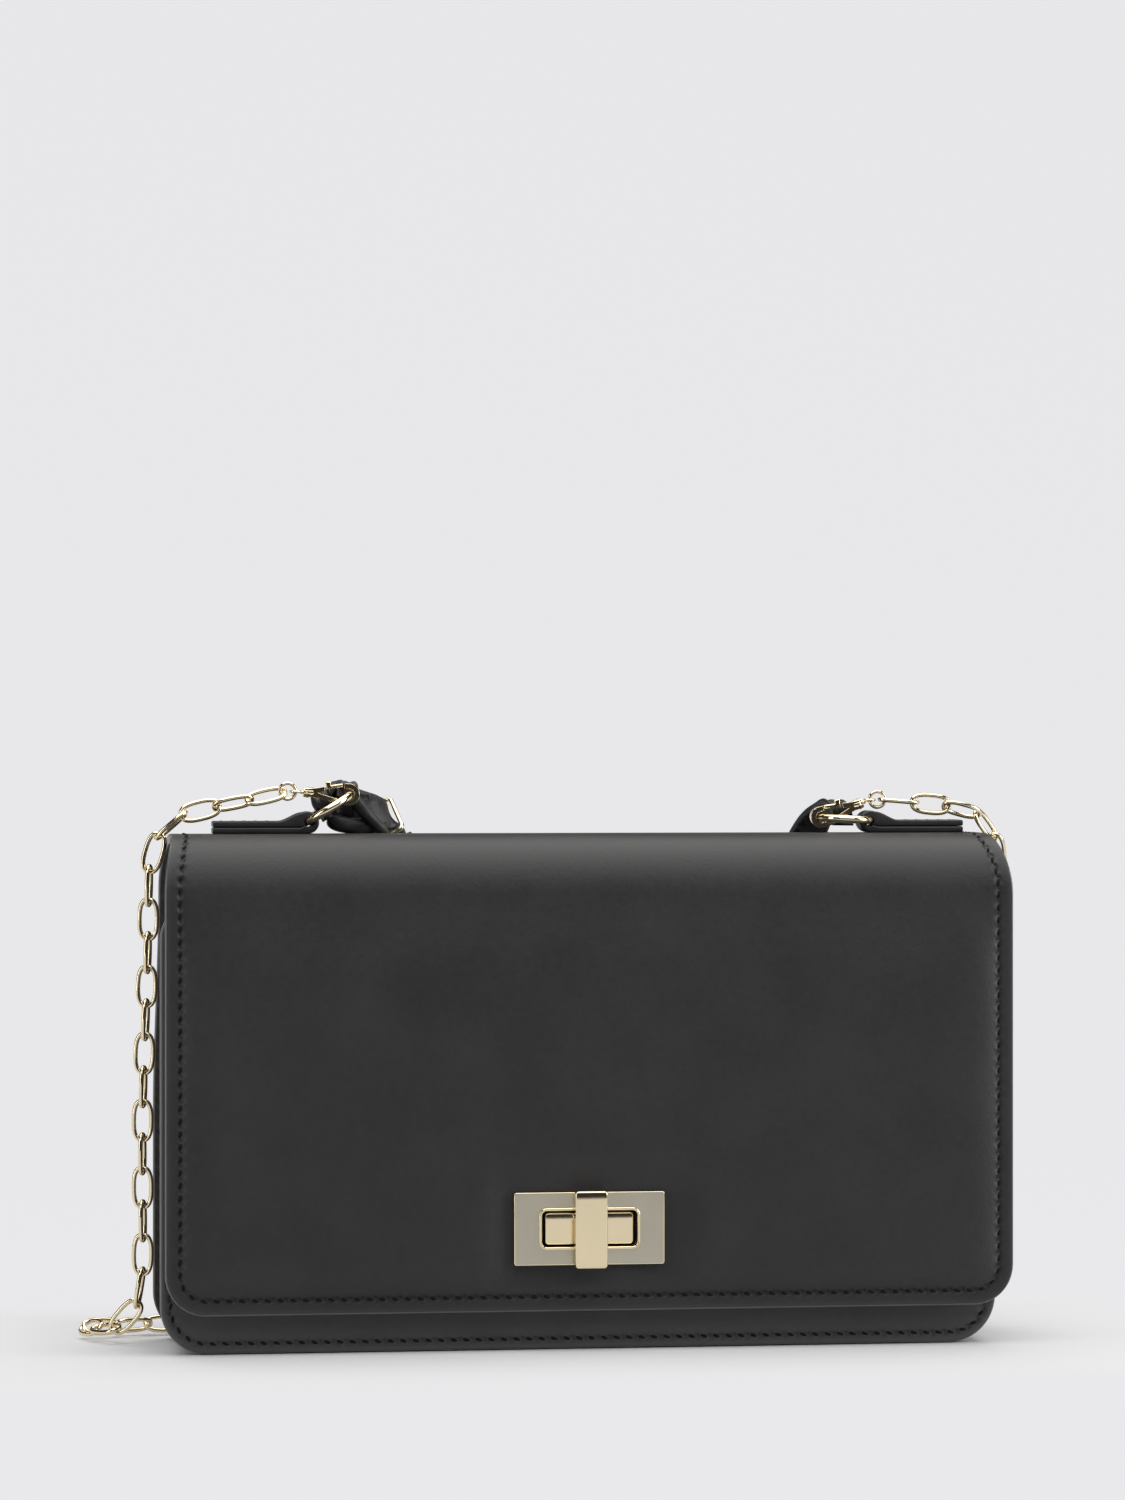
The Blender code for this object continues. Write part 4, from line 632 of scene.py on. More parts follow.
def grid_sheet(name, columns, rows, surface, heights, from_edge=None, rounding=0, paint=0, seam=None):
    """A sheet over a grid of shares and distances, closed at its edges, between two heights over a surface.

    from_edge tells how far a point is from the edge, where both faces are rounded over. Faces are 0 on top,
    1 at the edges and painted that far in, and 2 underneath. seam gives what sewn leather reads."""
    work = bmesh.new()
    rim = set()
    layer = work.verts.layers.float_vector.new("seam_place") if seam else None
    bmesh.ops.create_grid(work, x_segments=len(columns) - 1, y_segments=len(rows) - 1, size=1)
    under = work.faces[:]
    raised = bmesh.ops.extrude_face_region(work, geom=under, use_keep_orig=True)["geom"]
    upper = {item for item in raised if isinstance(item, bmesh.types.BMVert)}
    above = {item for item in raised if isinstance(item, bmesh.types.BMFace)}
    for face in work.faces:
        face.material_index = 0 if face in above else 1
    for face in under:
        face.material_index = 2
    for vertex in work.verts:
        column = round((vertex.co.x + 1) / 2 * (len(columns) - 1))
        row = round((vertex.co.y + 1) / 2 * (len(rows) - 1))
        share, distance = columns[column], rows[row]
        low, high = heights(share, distance)
        inset = from_edge(share, distance) if from_edge else 1
        drop = rounded_off(inset, rounding)
        vertex.co = surface(share, distance, high - drop if vertex in upper else low + drop)
        if seam:
            vertex[layer] = seam(share, distance)
        if inset < paint:
            rim.add(vertex)
    for face in work.faces:
        if rim.issuperset(face.verts):
            face.material_index = 1
    face_out(work)
    return to_mesh(name, work)


def mirrored(half, edges):
    """Shares across a sheet, from distances to its edge, on both sides of its middle."""
    shares = [1 - edge / half for edge in edges]
    return [-share for share in shares] + [0.0] + shares[::-1]


def strip(name, half, edges, stations, surface, heights, rounding, paint=0, seam=None):
    """A long sheet between two heights, rounded over along both sides."""
    return grid_sheet(
        name, mirrored(half, edges), range(stations), surface, lambda share, station: heights,
        lambda share, station: (1 - abs(share)) * half, rounding, paint, seam,
    )


# Routes

def smooth_route(points, steps=24):
    places = [Vector(p) for p in points]
    padded = [2 * places[0] - places[1]] + places + [2 * places[-1] - places[-2]]
    line = []
    for index in range(1, len(padded) - 2):
        a, b, c, d = padded[index - 1 : index + 3]
        for step in range(steps):
            t = step / steps
            curve = (2 * a - 5 * b + 4 * c - d) * t**2 + (3 * b - a - 3 * c + d) * t**3
            line.append(0.5 * ((2 * b) + (c - a) * t + curve))
    line.append(places[-1])
    return line


def equal_chords(line, chord, count):
    joints, at = [line[0]], 0
    while len(joints) <= count:
        last = joints[-1]
        while at < len(line) - 1 and (line[at + 1] - last).length < chord:
            at += 1
        if at == len(line) - 1:
            joints.append(last + (line[-1] - line[-2]).normalized() * chord)
            continue
        low, high = 0.0, 1.0
        for _ in range(40):
            middle = (low + high) / 2
            if (line[at].lerp(line[at + 1], middle) - last).length < chord:
                low = middle
            else:
                high = middle
        joints.append(line[at].lerp(line[at + 1], high))
    return joints


def line_length(line):
    return sum((b - a).length for a, b in zip(line, line[1:]))


def equal_steps(line, count):
    """Count steps of the same length along a line, both ends kept."""
    made, walked, step = [line[0]], 0.0, line_length(line) / count
    for a, b in zip(line, line[1:]):
        length = (b - a).length
        while len(made) < count and walked + length >= step * len(made):
            made.append(a.lerp(b, (step * len(made) - walked) / length))
        walked += length
    return made + [line[-1]]


# Camera: about 1.15 m off, level with the top of the bag, a little to its left
CAMERA_PLACE = (-0.1601, -1.150, 0.1397)
CAMERA_TURN = -7.77
CAMERA_FOCAL, PHOTO_HEIGHT, SENSOR = 4897.0, 1500, 36


def make_camera():
    data = bpy.data.cameras.new("camera")
    data.lens = CAMERA_FOCAL / PHOTO_HEIGHT * SENSOR
    data.sensor_width = SENSOR
    data.clip_start, data.clip_end = 0.05, 20
    camera = new_object("camera", data)
    camera.location = CAMERA_PLACE
    camera.rotation_euler = (math.radians(90), 0, math.radians(CAMERA_TURN))
    bpy.context.scene.camera = camera


make_camera()


# Clasps and their jump rings
BOWL_CENTRE = CLASP_LENGTH - CLASP_BOWL_RADIUS
HOOK_ROUNDING, BARREL_ROUNDING, LEVER_ROUNDING = 0.00042, 0.00025, 0.00028
COLLAR_WIRE, COLLAR_FROM_TAIL, POST_DEPTH = 0.0004, 0.0006, 0.0013


def clasp_half_height(x, inset=0):
    if x >= BOWL_CENTRE:
        return math.sqrt(max(0.0, (CLASP_BOWL_RADIUS - inset) ** 2 - (x - BOWL_CENTRE) ** 2))
    return CLASP_NECK + (CLASP_BOWL_RADIUS - CLASP_NECK) * ramp(x, 0, BOWL_CENTRE) - inset


def opening_half_height(x):
    closing = max(0.0, (CLASP_OPENING_START + CLASP_OPENING_ROUND - x) / CLASP_OPENING_ROUND)
    return clasp_half_height(x, CLASP_WALL) * math.sqrt(max(0.0, 1 - closing**2))


def hook_outline():
    """X runs from the tail to the tip."""
    centre = (BOWL_CENTRE, 0)
    hook = [(x, clasp_half_height(x)) for x in spread(CLASP_GATE_START, 0, 8)]
    hook += [(x, -clasp_half_height(x)) for x in spread(0, BOWL_CENTRE, 14)]
    hook += arc(centre, CLASP_BOWL_RADIUS, -90, 90, 20)[1:]
    hook += [(x, clasp_half_height(x)) for x in spread(BOWL_CENTRE, CLASP_GATE_END, 2)[1:]]
    hook += [(x, opening_half_height(x)) for x in spread(CLASP_GATE_END, BOWL_CENTRE, 2)[:-1]]
    hook += arc(centre, CLASP_BOWL_RADIUS - CLASP_WALL, 90, -90, 16)
    hook += [(x, -opening_half_height(x)) for x in spread(BOWL_CENTRE, CLASP_OPENING_START, 14)[1:]]
    return hook + [(x, opening_half_height(x)) for x in spread(CLASP_OPENING_START, CLASP_GATE_START, 6)[1:]]


def lever_outline():
    start = CLASP_GATE_START + GAP
    steps = spread(start, CLASP_GATE_END - GAP, 10)
    thumb_top = clasp_half_height(start) + TRIGGER_THUMB
    lever = [(x, clasp_half_height(x, TRIGGER_WALL)) for x in steps]
    lever += [(x, clasp_half_height(x)) for x in reversed(steps[3:])]
    lever += [(start + TRIGGER_THUMB, thumb_top), (start - TRIGGER_THUMB / 3, thumb_top)]
    return lever + [(start, clasp_half_height(start))]


def make_clasp(side, end_x, towards, tilt, slope, jump_rise):
    """Ring, clasp, eye and jump ring on one side. The jump ring's centre is returned."""
    away = Vector((towards * math.cos(tilt), 0, math.sin(tilt)))
    loop_centre = Vector((end_x + towards * LOOP_CENTRE_FROM_END, HARDWARE_Y, LOOP_CENTRE_Z))
    centre = loop_centre + away * (RING_RADIUS - RING_BOW / 2)
    turn = Matrix.Translation(centre) @ Matrix.Rotation(-towards * tilt, 4, "Y")
    add_gold(f"ring_{side}_fine", ring_mesh(RING_RADIUS, RING_WIRE, 64, 20, turn), f"ring_{side}")
    held = centre + away * RING_RADIUS
    turn = Matrix.Rotation(towards * slope, 4, "Y") @ FACING_FRONT @ Matrix.Diagonal((towards, 1, towards, 1))
    place = Matrix.Translation(held) @ turn @ Matrix.Translation((-BOWL_CENTRE - CLASP_SEAT, 0, 0))
    axis = place.to_3x3() @ Vector((1, 0, 0))
    tail = place @ Vector((0, 0, 0))
    round_axis = axis.to_track_quat("Z", "Y").to_matrix().to_4x4()
    collar_place = Matrix.Translation(tail + axis * COLLAR_FROM_TAIL) @ round_axis
    hook = merged(
        rounded_plate([hook_outline()], CLASP_THICK, HOOK_ROUNDING, place),
        rod_mesh(CLASP_TAIL_RADIUS, tail - axis * GAP, tail + axis * CLASP_TAIL_LENGTH, 32, BARREL_ROUNDING),
        ring_mesh(CLASP_TAIL_RADIUS, COLLAR_WIRE, 32, 8, collar_place),
    )
    add_gold(f"clasp_{side}_hook", hook, f"clasp_{side}_body", smooth=False)
    lever = rounded_plate([lever_outline()], TRIGGER_THICK, LEVER_ROUNDING, place)
    add_gold(f"clasp_{side}_lever", lever, f"clasp_{side}_trigger", f"{side}_trigger", smooth=False)
    eye_centre = tail - axis * (EYE_RADIUS + EYE_WIRE / 2 + 2 * GAP)
    eye = merged(
        ring_mesh(EYE_RADIUS, EYE_WIRE, 32, 12, Matrix.Translation(eye_centre)),
        rod_mesh(EYE_POST_RADIUS, eye_centre + axis * EYE_RADIUS, tail + axis * POST_DEPTH, 16),
    )
    add_gold(f"clasp_{side}_swivel", eye, f"clasp_{side}_eye")
    leaving = Vector((-towards * math.cos(jump_rise), 0, math.sin(jump_rise)))
    jump_centre = eye_centre + leaving * JUMP_RADIUS
    jump = ring_mesh(JUMP_RADIUS, JUMP_WIRE, 36, 12, Matrix.Translation(jump_centre) @ FACING_FRONT)
    add_gold(f"jump_ring_{side}_fine", jump, f"jump_ring_{side}")
    return jump_centre


# Chain: one long run of links from ring to ring, down the side, coiled behind and up again
LINK_FINE_WIRE, LINK_SQUARENESS, LINK_FULLER = 0.00108, 2.7, 0.00008
LINK_LEAN, RUN_LEAD = 45, RUN_DIAMETER * 1.2


def chain_side(jump_centre, route, count):
    leaving = (Vector(route[0]) - jump_centre).normalized()
    first = jump_centre + leaving * (JUMP_RADIUS - (JUMP_WIRE + LINK_PLAY) / 2)
    return equal_chords(smooth_route((first, *route)), LINK_PITCH, count)


def link_between(start, end, facing, turned):
    """A link's place between two joints, turned about its own length."""
    along = (end - start).normalized()
    facing = Matrix.Rotation(math.radians(turned), 4, along) @ facing
    return Matrix.Translation((start + end) / 2) @ axes(along, facing)


def hanging_links(joints, turns):
    along = (joints[1] - joints[0]).normalized()
    normal = squared(Vector((0, 1, 0)), along)
    places = []
    for start, end, turned in zip(joints, joints[1:], turns):
        heading = (end - start).normalized()
        normal = (along.rotation_difference(heading) @ normal).normalized()
        along = heading
        places.append(link_between(start, end, normal, turned))
    return places


def lying_links(joints):
    """Links on the floor, leaning one way and then the other."""
    places = []
    for index, (start, end) in enumerate(zip(joints, joints[1:])):
        along = (end - start).normalized()
        level = Vector((0, 0, 1)).cross(along).normalized() if abs(along.z) < 0.9 else Vector((0, 1, 0))
        places.append(link_between(start, end, along.cross(level), LINK_LEAN if index % 2 else -LINK_LEAN))
    return places


def link_mesh(points, resolution):
    """One link: an oval with nearly straight sides."""
    long, wide = (LINK_LENGTH - LINK_WIRE) / 2, (LINK_WIDTH - LINK_WIRE) / 2 + LINK_FULLER
    loop = []
    for index in range(points):
        angle = 2 * math.pi * (index + 0.5) / points
        x, y = math.cos(angle), math.sin(angle)
        stretch = (abs(x) ** LINK_SQUARENESS + abs(y) ** LINK_SQUARENESS) ** (-1 / LINK_SQUARENESS)
        loop.append((long * x * stretch, wide * y * stretch))
    return wire_mesh(loop, LINK_FINE_WIRE, resolution)


def coil_line():
    line = []
    for index in range(COIL_TURNS * 36 + 1):
        turn = index / 36
        radius = COIL_RADIUS - COIL_STEP * min(turn, COIL_TURNS - turn)
        angle = 2 * math.pi * turn - math.pi / 2
        rise = ramp(turn, COIL_TURNS / 2 - 0.25, COIL_TURNS / 2 + 0.25)
        line.append(Vector((
            COIL_CENTRE[0] + radius * math.cos(angle), COIL_CENTRE[1] + radius * math.sin(angle),
            RUN_DIAMETER / 2 + COIL_STEP * rise,
        )))
    return line


def run_on(before, last, bend, after, end):
    """A run of chain that goes on from its last joint and ends in line with the coil."""
    lead = (last - before).normalized() * RUN_LEAD
    arrival = (end - after).normalized() * RUN_LEAD
    return smooth_route([last, last + lead, *bend, end + arrival, end])


def make_chain(left_jump, right_jump):
    left = chain_side(left_jump, LEFT_ROUTE, LEFT_LINKS)
    right = chain_side(right_jump, RIGHT_ROUTE, RIGHT_LINKS)
    coil = coil_line()
    into = run_on(*left[-2:], LEFT_RUN_BEND, coil[1], coil[0])
    out = run_on(*right[-2:], RIGHT_RUN_BEND, coil[-2], coil[-1])
    hidden = into[:-1] + coil + out[-2::-1]
    joints = equal_steps(hidden, round(line_length(hidden) / LINK_PITCH / 2) * 2)
    left_turns = [*LEFT_FIRST_TURNS, *(LINK_TURNS[index % 2] for index in range(3, LEFT_LINKS))]
    shown = hanging_links(left, left_turns) + hanging_links(right, RIGHT_FIRST_TURNS)
    mesh = merged(
        many("seen", link_mesh(40, 3), shown), many("unseen", link_mesh(16, 1), lying_links(joints))
    )
    path = left + joints[1:-1] + right[::-1]
    line = [place for a, b in zip(path, path[1:]) for place in (a, a.lerp(b, 0.5))] + [path[-1]]
    replaced = [f"chain_link_left_{index + 1:02d}" for index in range(LEFT_LINKS)]
    replaced += [f"chain_link_right_{index + 1:02d}" for index in range(RIGHT_LINKS)]
    replaced += ["chain_run_left", "chain_run_right", "chain_coil"]
    chain = add_object("chain", mesh, [GOLD], "bag", replaced)
    line_length(line)


make_chain(
    make_clasp("left", LEFT_TAB_END_X, 1, LEFT_RING_TILT, LEFT_CLASP_SLOPE, LEFT_JUMP_RISE),
    make_clasp("right", RIGHT_TAB_END_X, -1, RIGHT_RING_TILT, RIGHT_CLASP_SLOPE, RIGHT_JUMP_RISE),
)


# Sewn edges
PITCH = 0.00295
EDGE_PAINT = 0.0004
EDGE_WEAR = 0.0016
GROOVE_WIDTH, GROOVE_DEPTH = 0.0006, 0.00022
STITCH_HALF, STITCH_WIDE, STITCH_HIGH = 0.00100, 0.00034, 0.00030
STITCH_LEAN, STITCH_REACH = math.radians(-20), 0.0003
FROM_EDGE = (
    0.0, 0.00006, 0.00018, 0.00036, 0.0006, 0.0010, 0.0016, 0.0023, 0.0028, 0.0031, 0.0035, 0.0039, 0.0042,
    0.0048, 0.0056, 0.0066, 0.0080, 0.0098, 0.0122, 0.0152, 0.0190,
)


def make_stitch():
    """One stitch: a short twisted thread that dips into the leather at both ends."""
    work = bmesh.new()
    bmesh.ops.create_uvsphere(work, u_segments=8, v_segments=6, radius=1.0)
    bmesh.ops.rotate(work, matrix=Matrix.Rotation(math.pi / 2, 3, "Y"), verts=work.verts)
    for vertex in work.verts:
        x, y, z = vertex.co
        vertex.co = (x * STITCH_HALF, y * STITCH_WIDE, (z - x * x) * STITCH_HIGH)
    return to_mesh("stitch", work)


STITCH = make_stitch()


def stitch_frame(place, before, after, outward):
    along = (Vector(after) - Vector(before)).normalized()
    turn = axes(along, squared(Vector(outward), along))
    return Matrix.Translation(place) @ turn @ Matrix.Rotation(STITCH_LEAN, 4, "Z")


class Seam:
    """Stitches down one side of a sheet, round its low corner, along its low end and up the other side.

    A point is told by its side, how far in from that side it is, and its reach, which is how far from the
    low end."""

    def __init__(self, length, half, corner, margin):
        self.length, self.corner, self.margin = length, corner, margin
        self.turn = corner - margin
        self.straight = length - corner
        self.bend_end = self.straight + self.turn * math.pi / 2
        self.middle = self.bend_end + half - corner

    def reading(self, side, inside, reach, from_edge):
        """What sewn leather reads: stitches so far, millimetres off the seam, and wear at the edge."""
        if reach < self.corner and inside < self.corner:
            walked = self.straight + self.turn * math.atan2(self.corner - reach, self.corner - inside)
        elif inside <= reach:
            walked = self.length - reach
        else:
            walked = self.bend_end + inside - self.corner
        if side >= 0:
            walked = 2 * self.middle - walked
        return (walked / PITCH, (from_edge - self.margin) * 1000, 1 - ramp(from_edge, 0.0, EDGE_WEAR))

    def spot(self, walked):
        side = -1 if walked < self.middle else 1
        at = min(walked, 2 * self.middle - walked)
        if at <= self.straight:
            return side, self.margin, self.length - at
        if at <= self.bend_end:
            angle = (at - self.straight) / self.turn
            return side, self.corner - self.turn * math.cos(angle), self.corner - self.turn * math.sin(angle)
        return side, self.corner + at - self.bend_end, self.margin

    def stitches(self, first, surface):
        """A frame for every stitch, where surface gives a spot's place and outward direction."""
        frames = []
        for index in range(first, int(2 * self.middle / PITCH)):
            walked = (index + 0.5) * PITCH
            spots = [surface(*self.spot(walked + shift)) for shift in (0, -STITCH_REACH, STITCH_REACH)]
            frames.append(stitch_frame(*(place for place, outward in spots), spots[0][1]))
        return frames


def groove(from_edge, margin):
    """How deep a row of stitches draws the leather in."""
    off = (from_edge - margin) / GROOVE_WIDTH
    return GROOVE_DEPTH * math.exp(-off * off)


def corner_distance(inside, reach, corner):
    """Distance to the edge of a sheet with round corners."""
    if reach < corner and inside < corner:
        return corner - math.hypot(corner - inside, corner - reach)
    return min(inside, reach)


def corner_inset(reach, corner):
    """How much narrower a side of the sheet is, that far from an end with round corners."""
    if reach >= corner:
        return 0.0
    return corner - math.sqrt(max(0.0, corner**2 - (corner - max(0.0, reach)) ** 2))


def corner_rows(corner):
    return [corner * (1 - math.cos(math.radians(angle))) for angle in range(0, 91, 9)]


def border_columns(half, middle):
    right = [1 - edge / half for edge in FROM_EDGE]
    right += [right[-1] / middle * index for index in range(1, middle)]
    right = sorted({round(value, 6) for value in right})
    return [-value for value in reversed(right)] + [0.0] + right


def thinned(values, least):
    """Values in order, without any that crowd the one before."""
    kept = []
    for value in sorted(values):
        if not kept or value - kept[-1] > least:
            kept.append(value)
    return kept


# Outer leather: one skin up the back, over the crest and down the flap
BACK_RISE = BAG_HEIGHT - REAR_SHOULDER
BACK_ARC_END = BACK_RISE + REAR_SHOULDER * math.pi / 2
REAR_CENTRE_Y = BACK_FACE_Y - REAR_SHOULDER
BACK_LENGTH = BACK_ARC_END + REAR_CENTRE_Y - FOLD_Y
FLAP_BEND = FOLD_Y - SHOULDER_Y
FLAP_HANG = FLAP_BEND + FLAP_SHOULDER * math.pi / 2
FLAP_LENGTH = FLAP_HANG + SHOULDER_Z - FLAP_LOW_EDGE
SKIN_LENGTH = BACK_LENGTH + FLAP_LENGTH
FLAP_FULLER = 0.0005
ROUND_OFF = 0.00045
SEAT_HALF_WIDTH, SEAT_HALF_HEIGHT, SEAT_SLOPE = PLATE_WIDTH / 2 + 0.0002, PLATE_HEIGHT / 2 + 0.0002, 0.0085
SWELL_WIDTH, SWELL_POWER, DRIFT_SCALE, DRIFT_SIZE = 0.0095, 2.5, 28, 0.00016
LEATHER_CHANGE = 0.004
STITCH_RISE = 0.00016
SLOT_HALF_WIDTH, SLOT_HALF_HEIGHT = SLOT_WIDTH / 2 + GAP, SLOT_HEIGHT / 2 + GAP


def skin_profile(distance):
    """Place and outward direction, from the base up the back and over to the low edge of the flap."""
    if distance <= BACK_RISE:
        return BACK_FACE_Y, distance, 1.0, 0.0
    if distance <= BACK_ARC_END:
        angle = (distance - BACK_RISE) / REAR_SHOULDER
        away, up = math.cos(angle), math.sin(angle)
        return REAR_CENTRE_Y + REAR_SHOULDER * away, BACK_RISE + REAR_SHOULDER * up, away, up
    down = distance - BACK_LENGTH
    if down <= FLAP_BEND:
        return FOLD_Y - down, BAG_HEIGHT, 0.0, 1.0
    if down <= FLAP_HANG:
        angle = (down - FLAP_BEND) / FLAP_SHOULDER
        away, up = -math.sin(angle), math.cos(angle)
        return SHOULDER_Y + FLAP_SHOULDER * away, SHOULDER_Z + FLAP_SHOULDER * up, away, up
    return FLAP_FACE_Y, SHOULDER_Z - (down - FLAP_HANG), -1.0, 0.0


def skin_middle(distance):
    if distance > BACK_LENGTH:
        return FLAP_ASIDE + CREST_ASIDE * (1 - ramp(distance - BACK_LENGTH, 0, FLAP_HANG))
    crest = ramp(distance, BACK_RISE, BACK_ARC_END)
    return FLAP_ASIDE * ramp(distance, BACK_RISE / 2, BACK_RISE) + CREST_ASIDE * crest


def skin_straight_half(distance):
    if distance > BACK_LENGTH:
        full = ramp(distance - BACK_LENGTH, 0, FLAP_HANG)
        return FLAP_WIDTH / 2 + FLAP_FULLER * full - CREST_DRAWN_IN * (1 - full)
    return FLAP_WIDTH / 2 - CREST_DRAWN_IN * ramp(distance, BACK_RISE, BACK_ARC_END)


BACK_SEAM = Seam(BACK_LENGTH, skin_straight_half(0), PANEL_CORNER, STITCH_MARGIN)
FLAP_SEAM = Seam(FLAP_LENGTH, skin_straight_half(SKIN_LENGTH), FLAP_CORNER, STITCH_MARGIN)


def skin_half(distance):
    """Half the skin's width, with its round corners at the base of the back and the low edge of the flap."""
    corners = corner_inset(distance, PANEL_CORNER) + corner_inset(SKIN_LENGTH - distance, FLAP_CORNER)
    return skin_straight_half(distance) - corners


def skin_spot(share, distance):
    """The seam a point belongs to, how far in from its side it is, its reach and its distance to the edge."""
    seam, reach = (BACK_SEAM, distance) if distance < BACK_LENGTH else (FLAP_SEAM, SKIN_LENGTH - distance)
    inside = skin_straight_half(distance) - abs(share) * skin_half(distance)
    return seam, inside, reach, corner_distance(inside, reach, seam.corner)


def skin_from_edge(share, distance):
    return skin_spot(share, distance)[3]


def skin_crown(share, distance):
    """How far the padded flap stands above its stitched margin, flat under the lock's plate."""
    if distance < BACK_LENGTH + FLAP_BEND:
        return 0.0
    x = skin_middle(distance) + share * skin_half(distance)
    z = FLAP_LOW_EDGE + SKIN_LENGTH - distance
    inside = min(1.0, max(0.0, (skin_from_edge(share, distance) - STITCH_MARGIN) / SWELL_WIDTH))
    swell = 1 - (1 - inside) ** SWELL_POWER
    past_plate = math.hypot(
        max(0.0, abs(x) - SEAT_HALF_WIDTH), max(0.0, abs(z - LOCK_HEIGHT) - SEAT_HALF_HEIGHT)
    )
    top = 1 - ramp(z, SHOULDER_Z - 0.020, SHOULDER_Z + 0.004)
    drift = noise.noise(Vector((x * DRIFT_SCALE, 0.3, z * DRIFT_SCALE))) * DRIFT_SIZE
    return (FLAP_CROWN * swell * top + drift * inside) * ramp(past_plate, 0.0, SEAT_SLOPE)


def skin_heights(share, distance):
    thin = ramp(distance, BACK_LENGTH - LEATHER_CHANGE, BACK_LENGTH)
    high = skin_crown(share, distance) - groove(skin_from_edge(share, distance), STITCH_MARGIN)
    return -PANEL_THICK - (FLAP_LEATHER - PANEL_THICK) * thin, high


def skin_surface(share, distance, height):
    y, z, away, up = skin_profile(distance)
    x = skin_middle(distance) + share * skin_half(distance)
    return (x, y + away * height, z + up * height)


def skin_seam(share, distance):
    seam, inside, reach, from_edge = skin_spot(share, distance)
    return seam.reading(share, inside, reach, from_edge)


def skin_rows():
    rows = list(FROM_EDGE) + corner_rows(PANEL_CORNER) + spread(0.022, BACK_RISE, 24)
    rows += spread(BACK_RISE, BACK_ARC_END, 14) + spread(BACK_ARC_END, BACK_LENGTH + FLAP_BEND, 16)
    rows += spread(BACK_LENGTH + FLAP_BEND, BACK_LENGTH + FLAP_HANG, 18)
    rows += spread(BACK_LENGTH + FLAP_HANG, SKIN_LENGTH - 0.019, 56)
    rows += [SKIN_LENGTH - row for row in corner_rows(FLAP_CORNER) + list(FROM_EDGE)]
    slot = [SKIN_LENGTH + FLAP_LOW_EDGE - LOCK_HEIGHT - side * SLOT_HALF_HEIGHT for side in (1, -1)]
    rows = [row for row in thinned(rows, 0.00005) if min(abs(row - edge) for edge in slot) > 0.0006]
    return thinned(rows + slot, 0.00004)


def at_slot(face):
    x, y, z = face.calc_center_median()
    return y < -0.015 and abs(x) < SLOT_HALF_WIDTH and abs(z - LOCK_HEIGHT) < SLOT_HALF_HEIGHT


def bend_with_flap(piece):
    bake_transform(piece)


def make_skin():
    half = FLAP_WIDTH / 2
    edges = ((SLOT_HALF_WIDTH - FLAP_ASIDE) / half, (-SLOT_HALF_WIDTH - FLAP_ASIDE) / half)
    columns = border_columns(half, 40)
    columns = [share for share in columns if min(abs(share - edge) for edge in edges) > 0.009]
    mesh = grid_sheet(
        "outer_leather", sorted([*columns, *edges]), skin_rows(), skin_surface, skin_heights, skin_from_edge,
        ROUND_OFF, EDGE_PAINT, skin_seam,
    )
    work = opened(mesh)
    bmesh.ops.delete(work, geom=[face for face in work.faces if at_slot(face)], context="FACES")
    walls = bmesh.ops.bridge_loops(work, edges=[edge for edge in work.edges if edge.is_boundary])
    for face in walls["faces"]:
        face.material_index = 1
    face_out(work)
    put_back(work, mesh)
    skin = add_object(
        "outer_leather", mesh, [LEATHER, EDGE_WITH_PAINTED_HIGHLIGHT, SUEDE], None, ["back_panel", "flap_leather"]
    )
    bend_with_flap(skin)


def skin_stitches(flap):
    def surface(side, inside, reach):
        distance = SKIN_LENGTH - reach if flap else reach
        share = side * (skin_straight_half(distance) - inside) / skin_half(distance)
        y, z, away, up = skin_profile(distance)
        return skin_surface(share, distance, skin_heights(share, distance)[1] + STITCH_RISE), (0, away, up)

    return (FLAP_SEAM if flap else BACK_SEAM).stitches(0, surface)


make_skin()
bend_with_flap(add_stitches("outer_stitches", skin_stitches(True) + skin_stitches(False), None))


# Flap lining and padding
LINING_END = SKIN_LENGTH - FLAP_LINING_INSET
LINING_TOP, LINING_ROUNDING, LINING_PAINT = -FLAP_LEATHER - GAP, 0.0003, 0.00032


def lining_surface(share, distance, height):
    y, z, away, up = skin_profile(distance)
    half = skin_straight_half(distance) - FLAP_LINING_INSET
    half -= corner_inset(LINING_END - distance, FLAP_CORNER - FLAP_LINING_INSET)
    return (skin_middle(distance) + share * half, y + away * height, z + up * height)


def lining_sheet():
    rows = spread(BACK_LENGTH + GAP, BACK_LENGTH + FLAP_HANG, 16)
    rows += spread(BACK_LENGTH + FLAP_HANG, LINING_END - FLAP_CORNER, 30)
    rows += [LINING_END - row for row in corner_rows(FLAP_CORNER) + [0.0001, 0.0003]]
    columns = spread(-1, 1, 40) + [-0.999, 0.999, -0.997, 0.997]
    return grid_sheet(
        "flap_lining_sheet", thinned(columns, 0.0005), thinned(rows, 0.00004), lining_surface,
        lambda share, distance: (LINING_TOP - FLAP_LINING, LINING_TOP),
        lambda share, distance: min((1 - abs(share)) * FLAP_WIDTH / 2, LINING_END - distance),
        LINING_ROUNDING, LINING_PAINT,
    )


def slot_block():
    work = bmesh.new()
    bmesh.ops.create_cube(work, size=1.0)
    bmesh.ops.scale(work, vec=(2 * SLOT_HALF_WIDTH, 0.03, 2 * SLOT_HALF_HEIGHT), verts=work.verts)
    bmesh.ops.translate(work, vec=(0, FLAP_FACE_Y, LOCK_HEIGHT), verts=work.verts)
    return to_mesh("slot", work)


lining = cut_out(lining_sheet(), [slot_block()])
add_object("flap_lining_sheet", lining, [SUEDE, EDGE_WITH_PAINTED_HIGHLIGHT, SUEDE], "flap", ["flap_lining"])
add_rounded("flap_foam", "flap_padding", 0, FOAM, "flap")


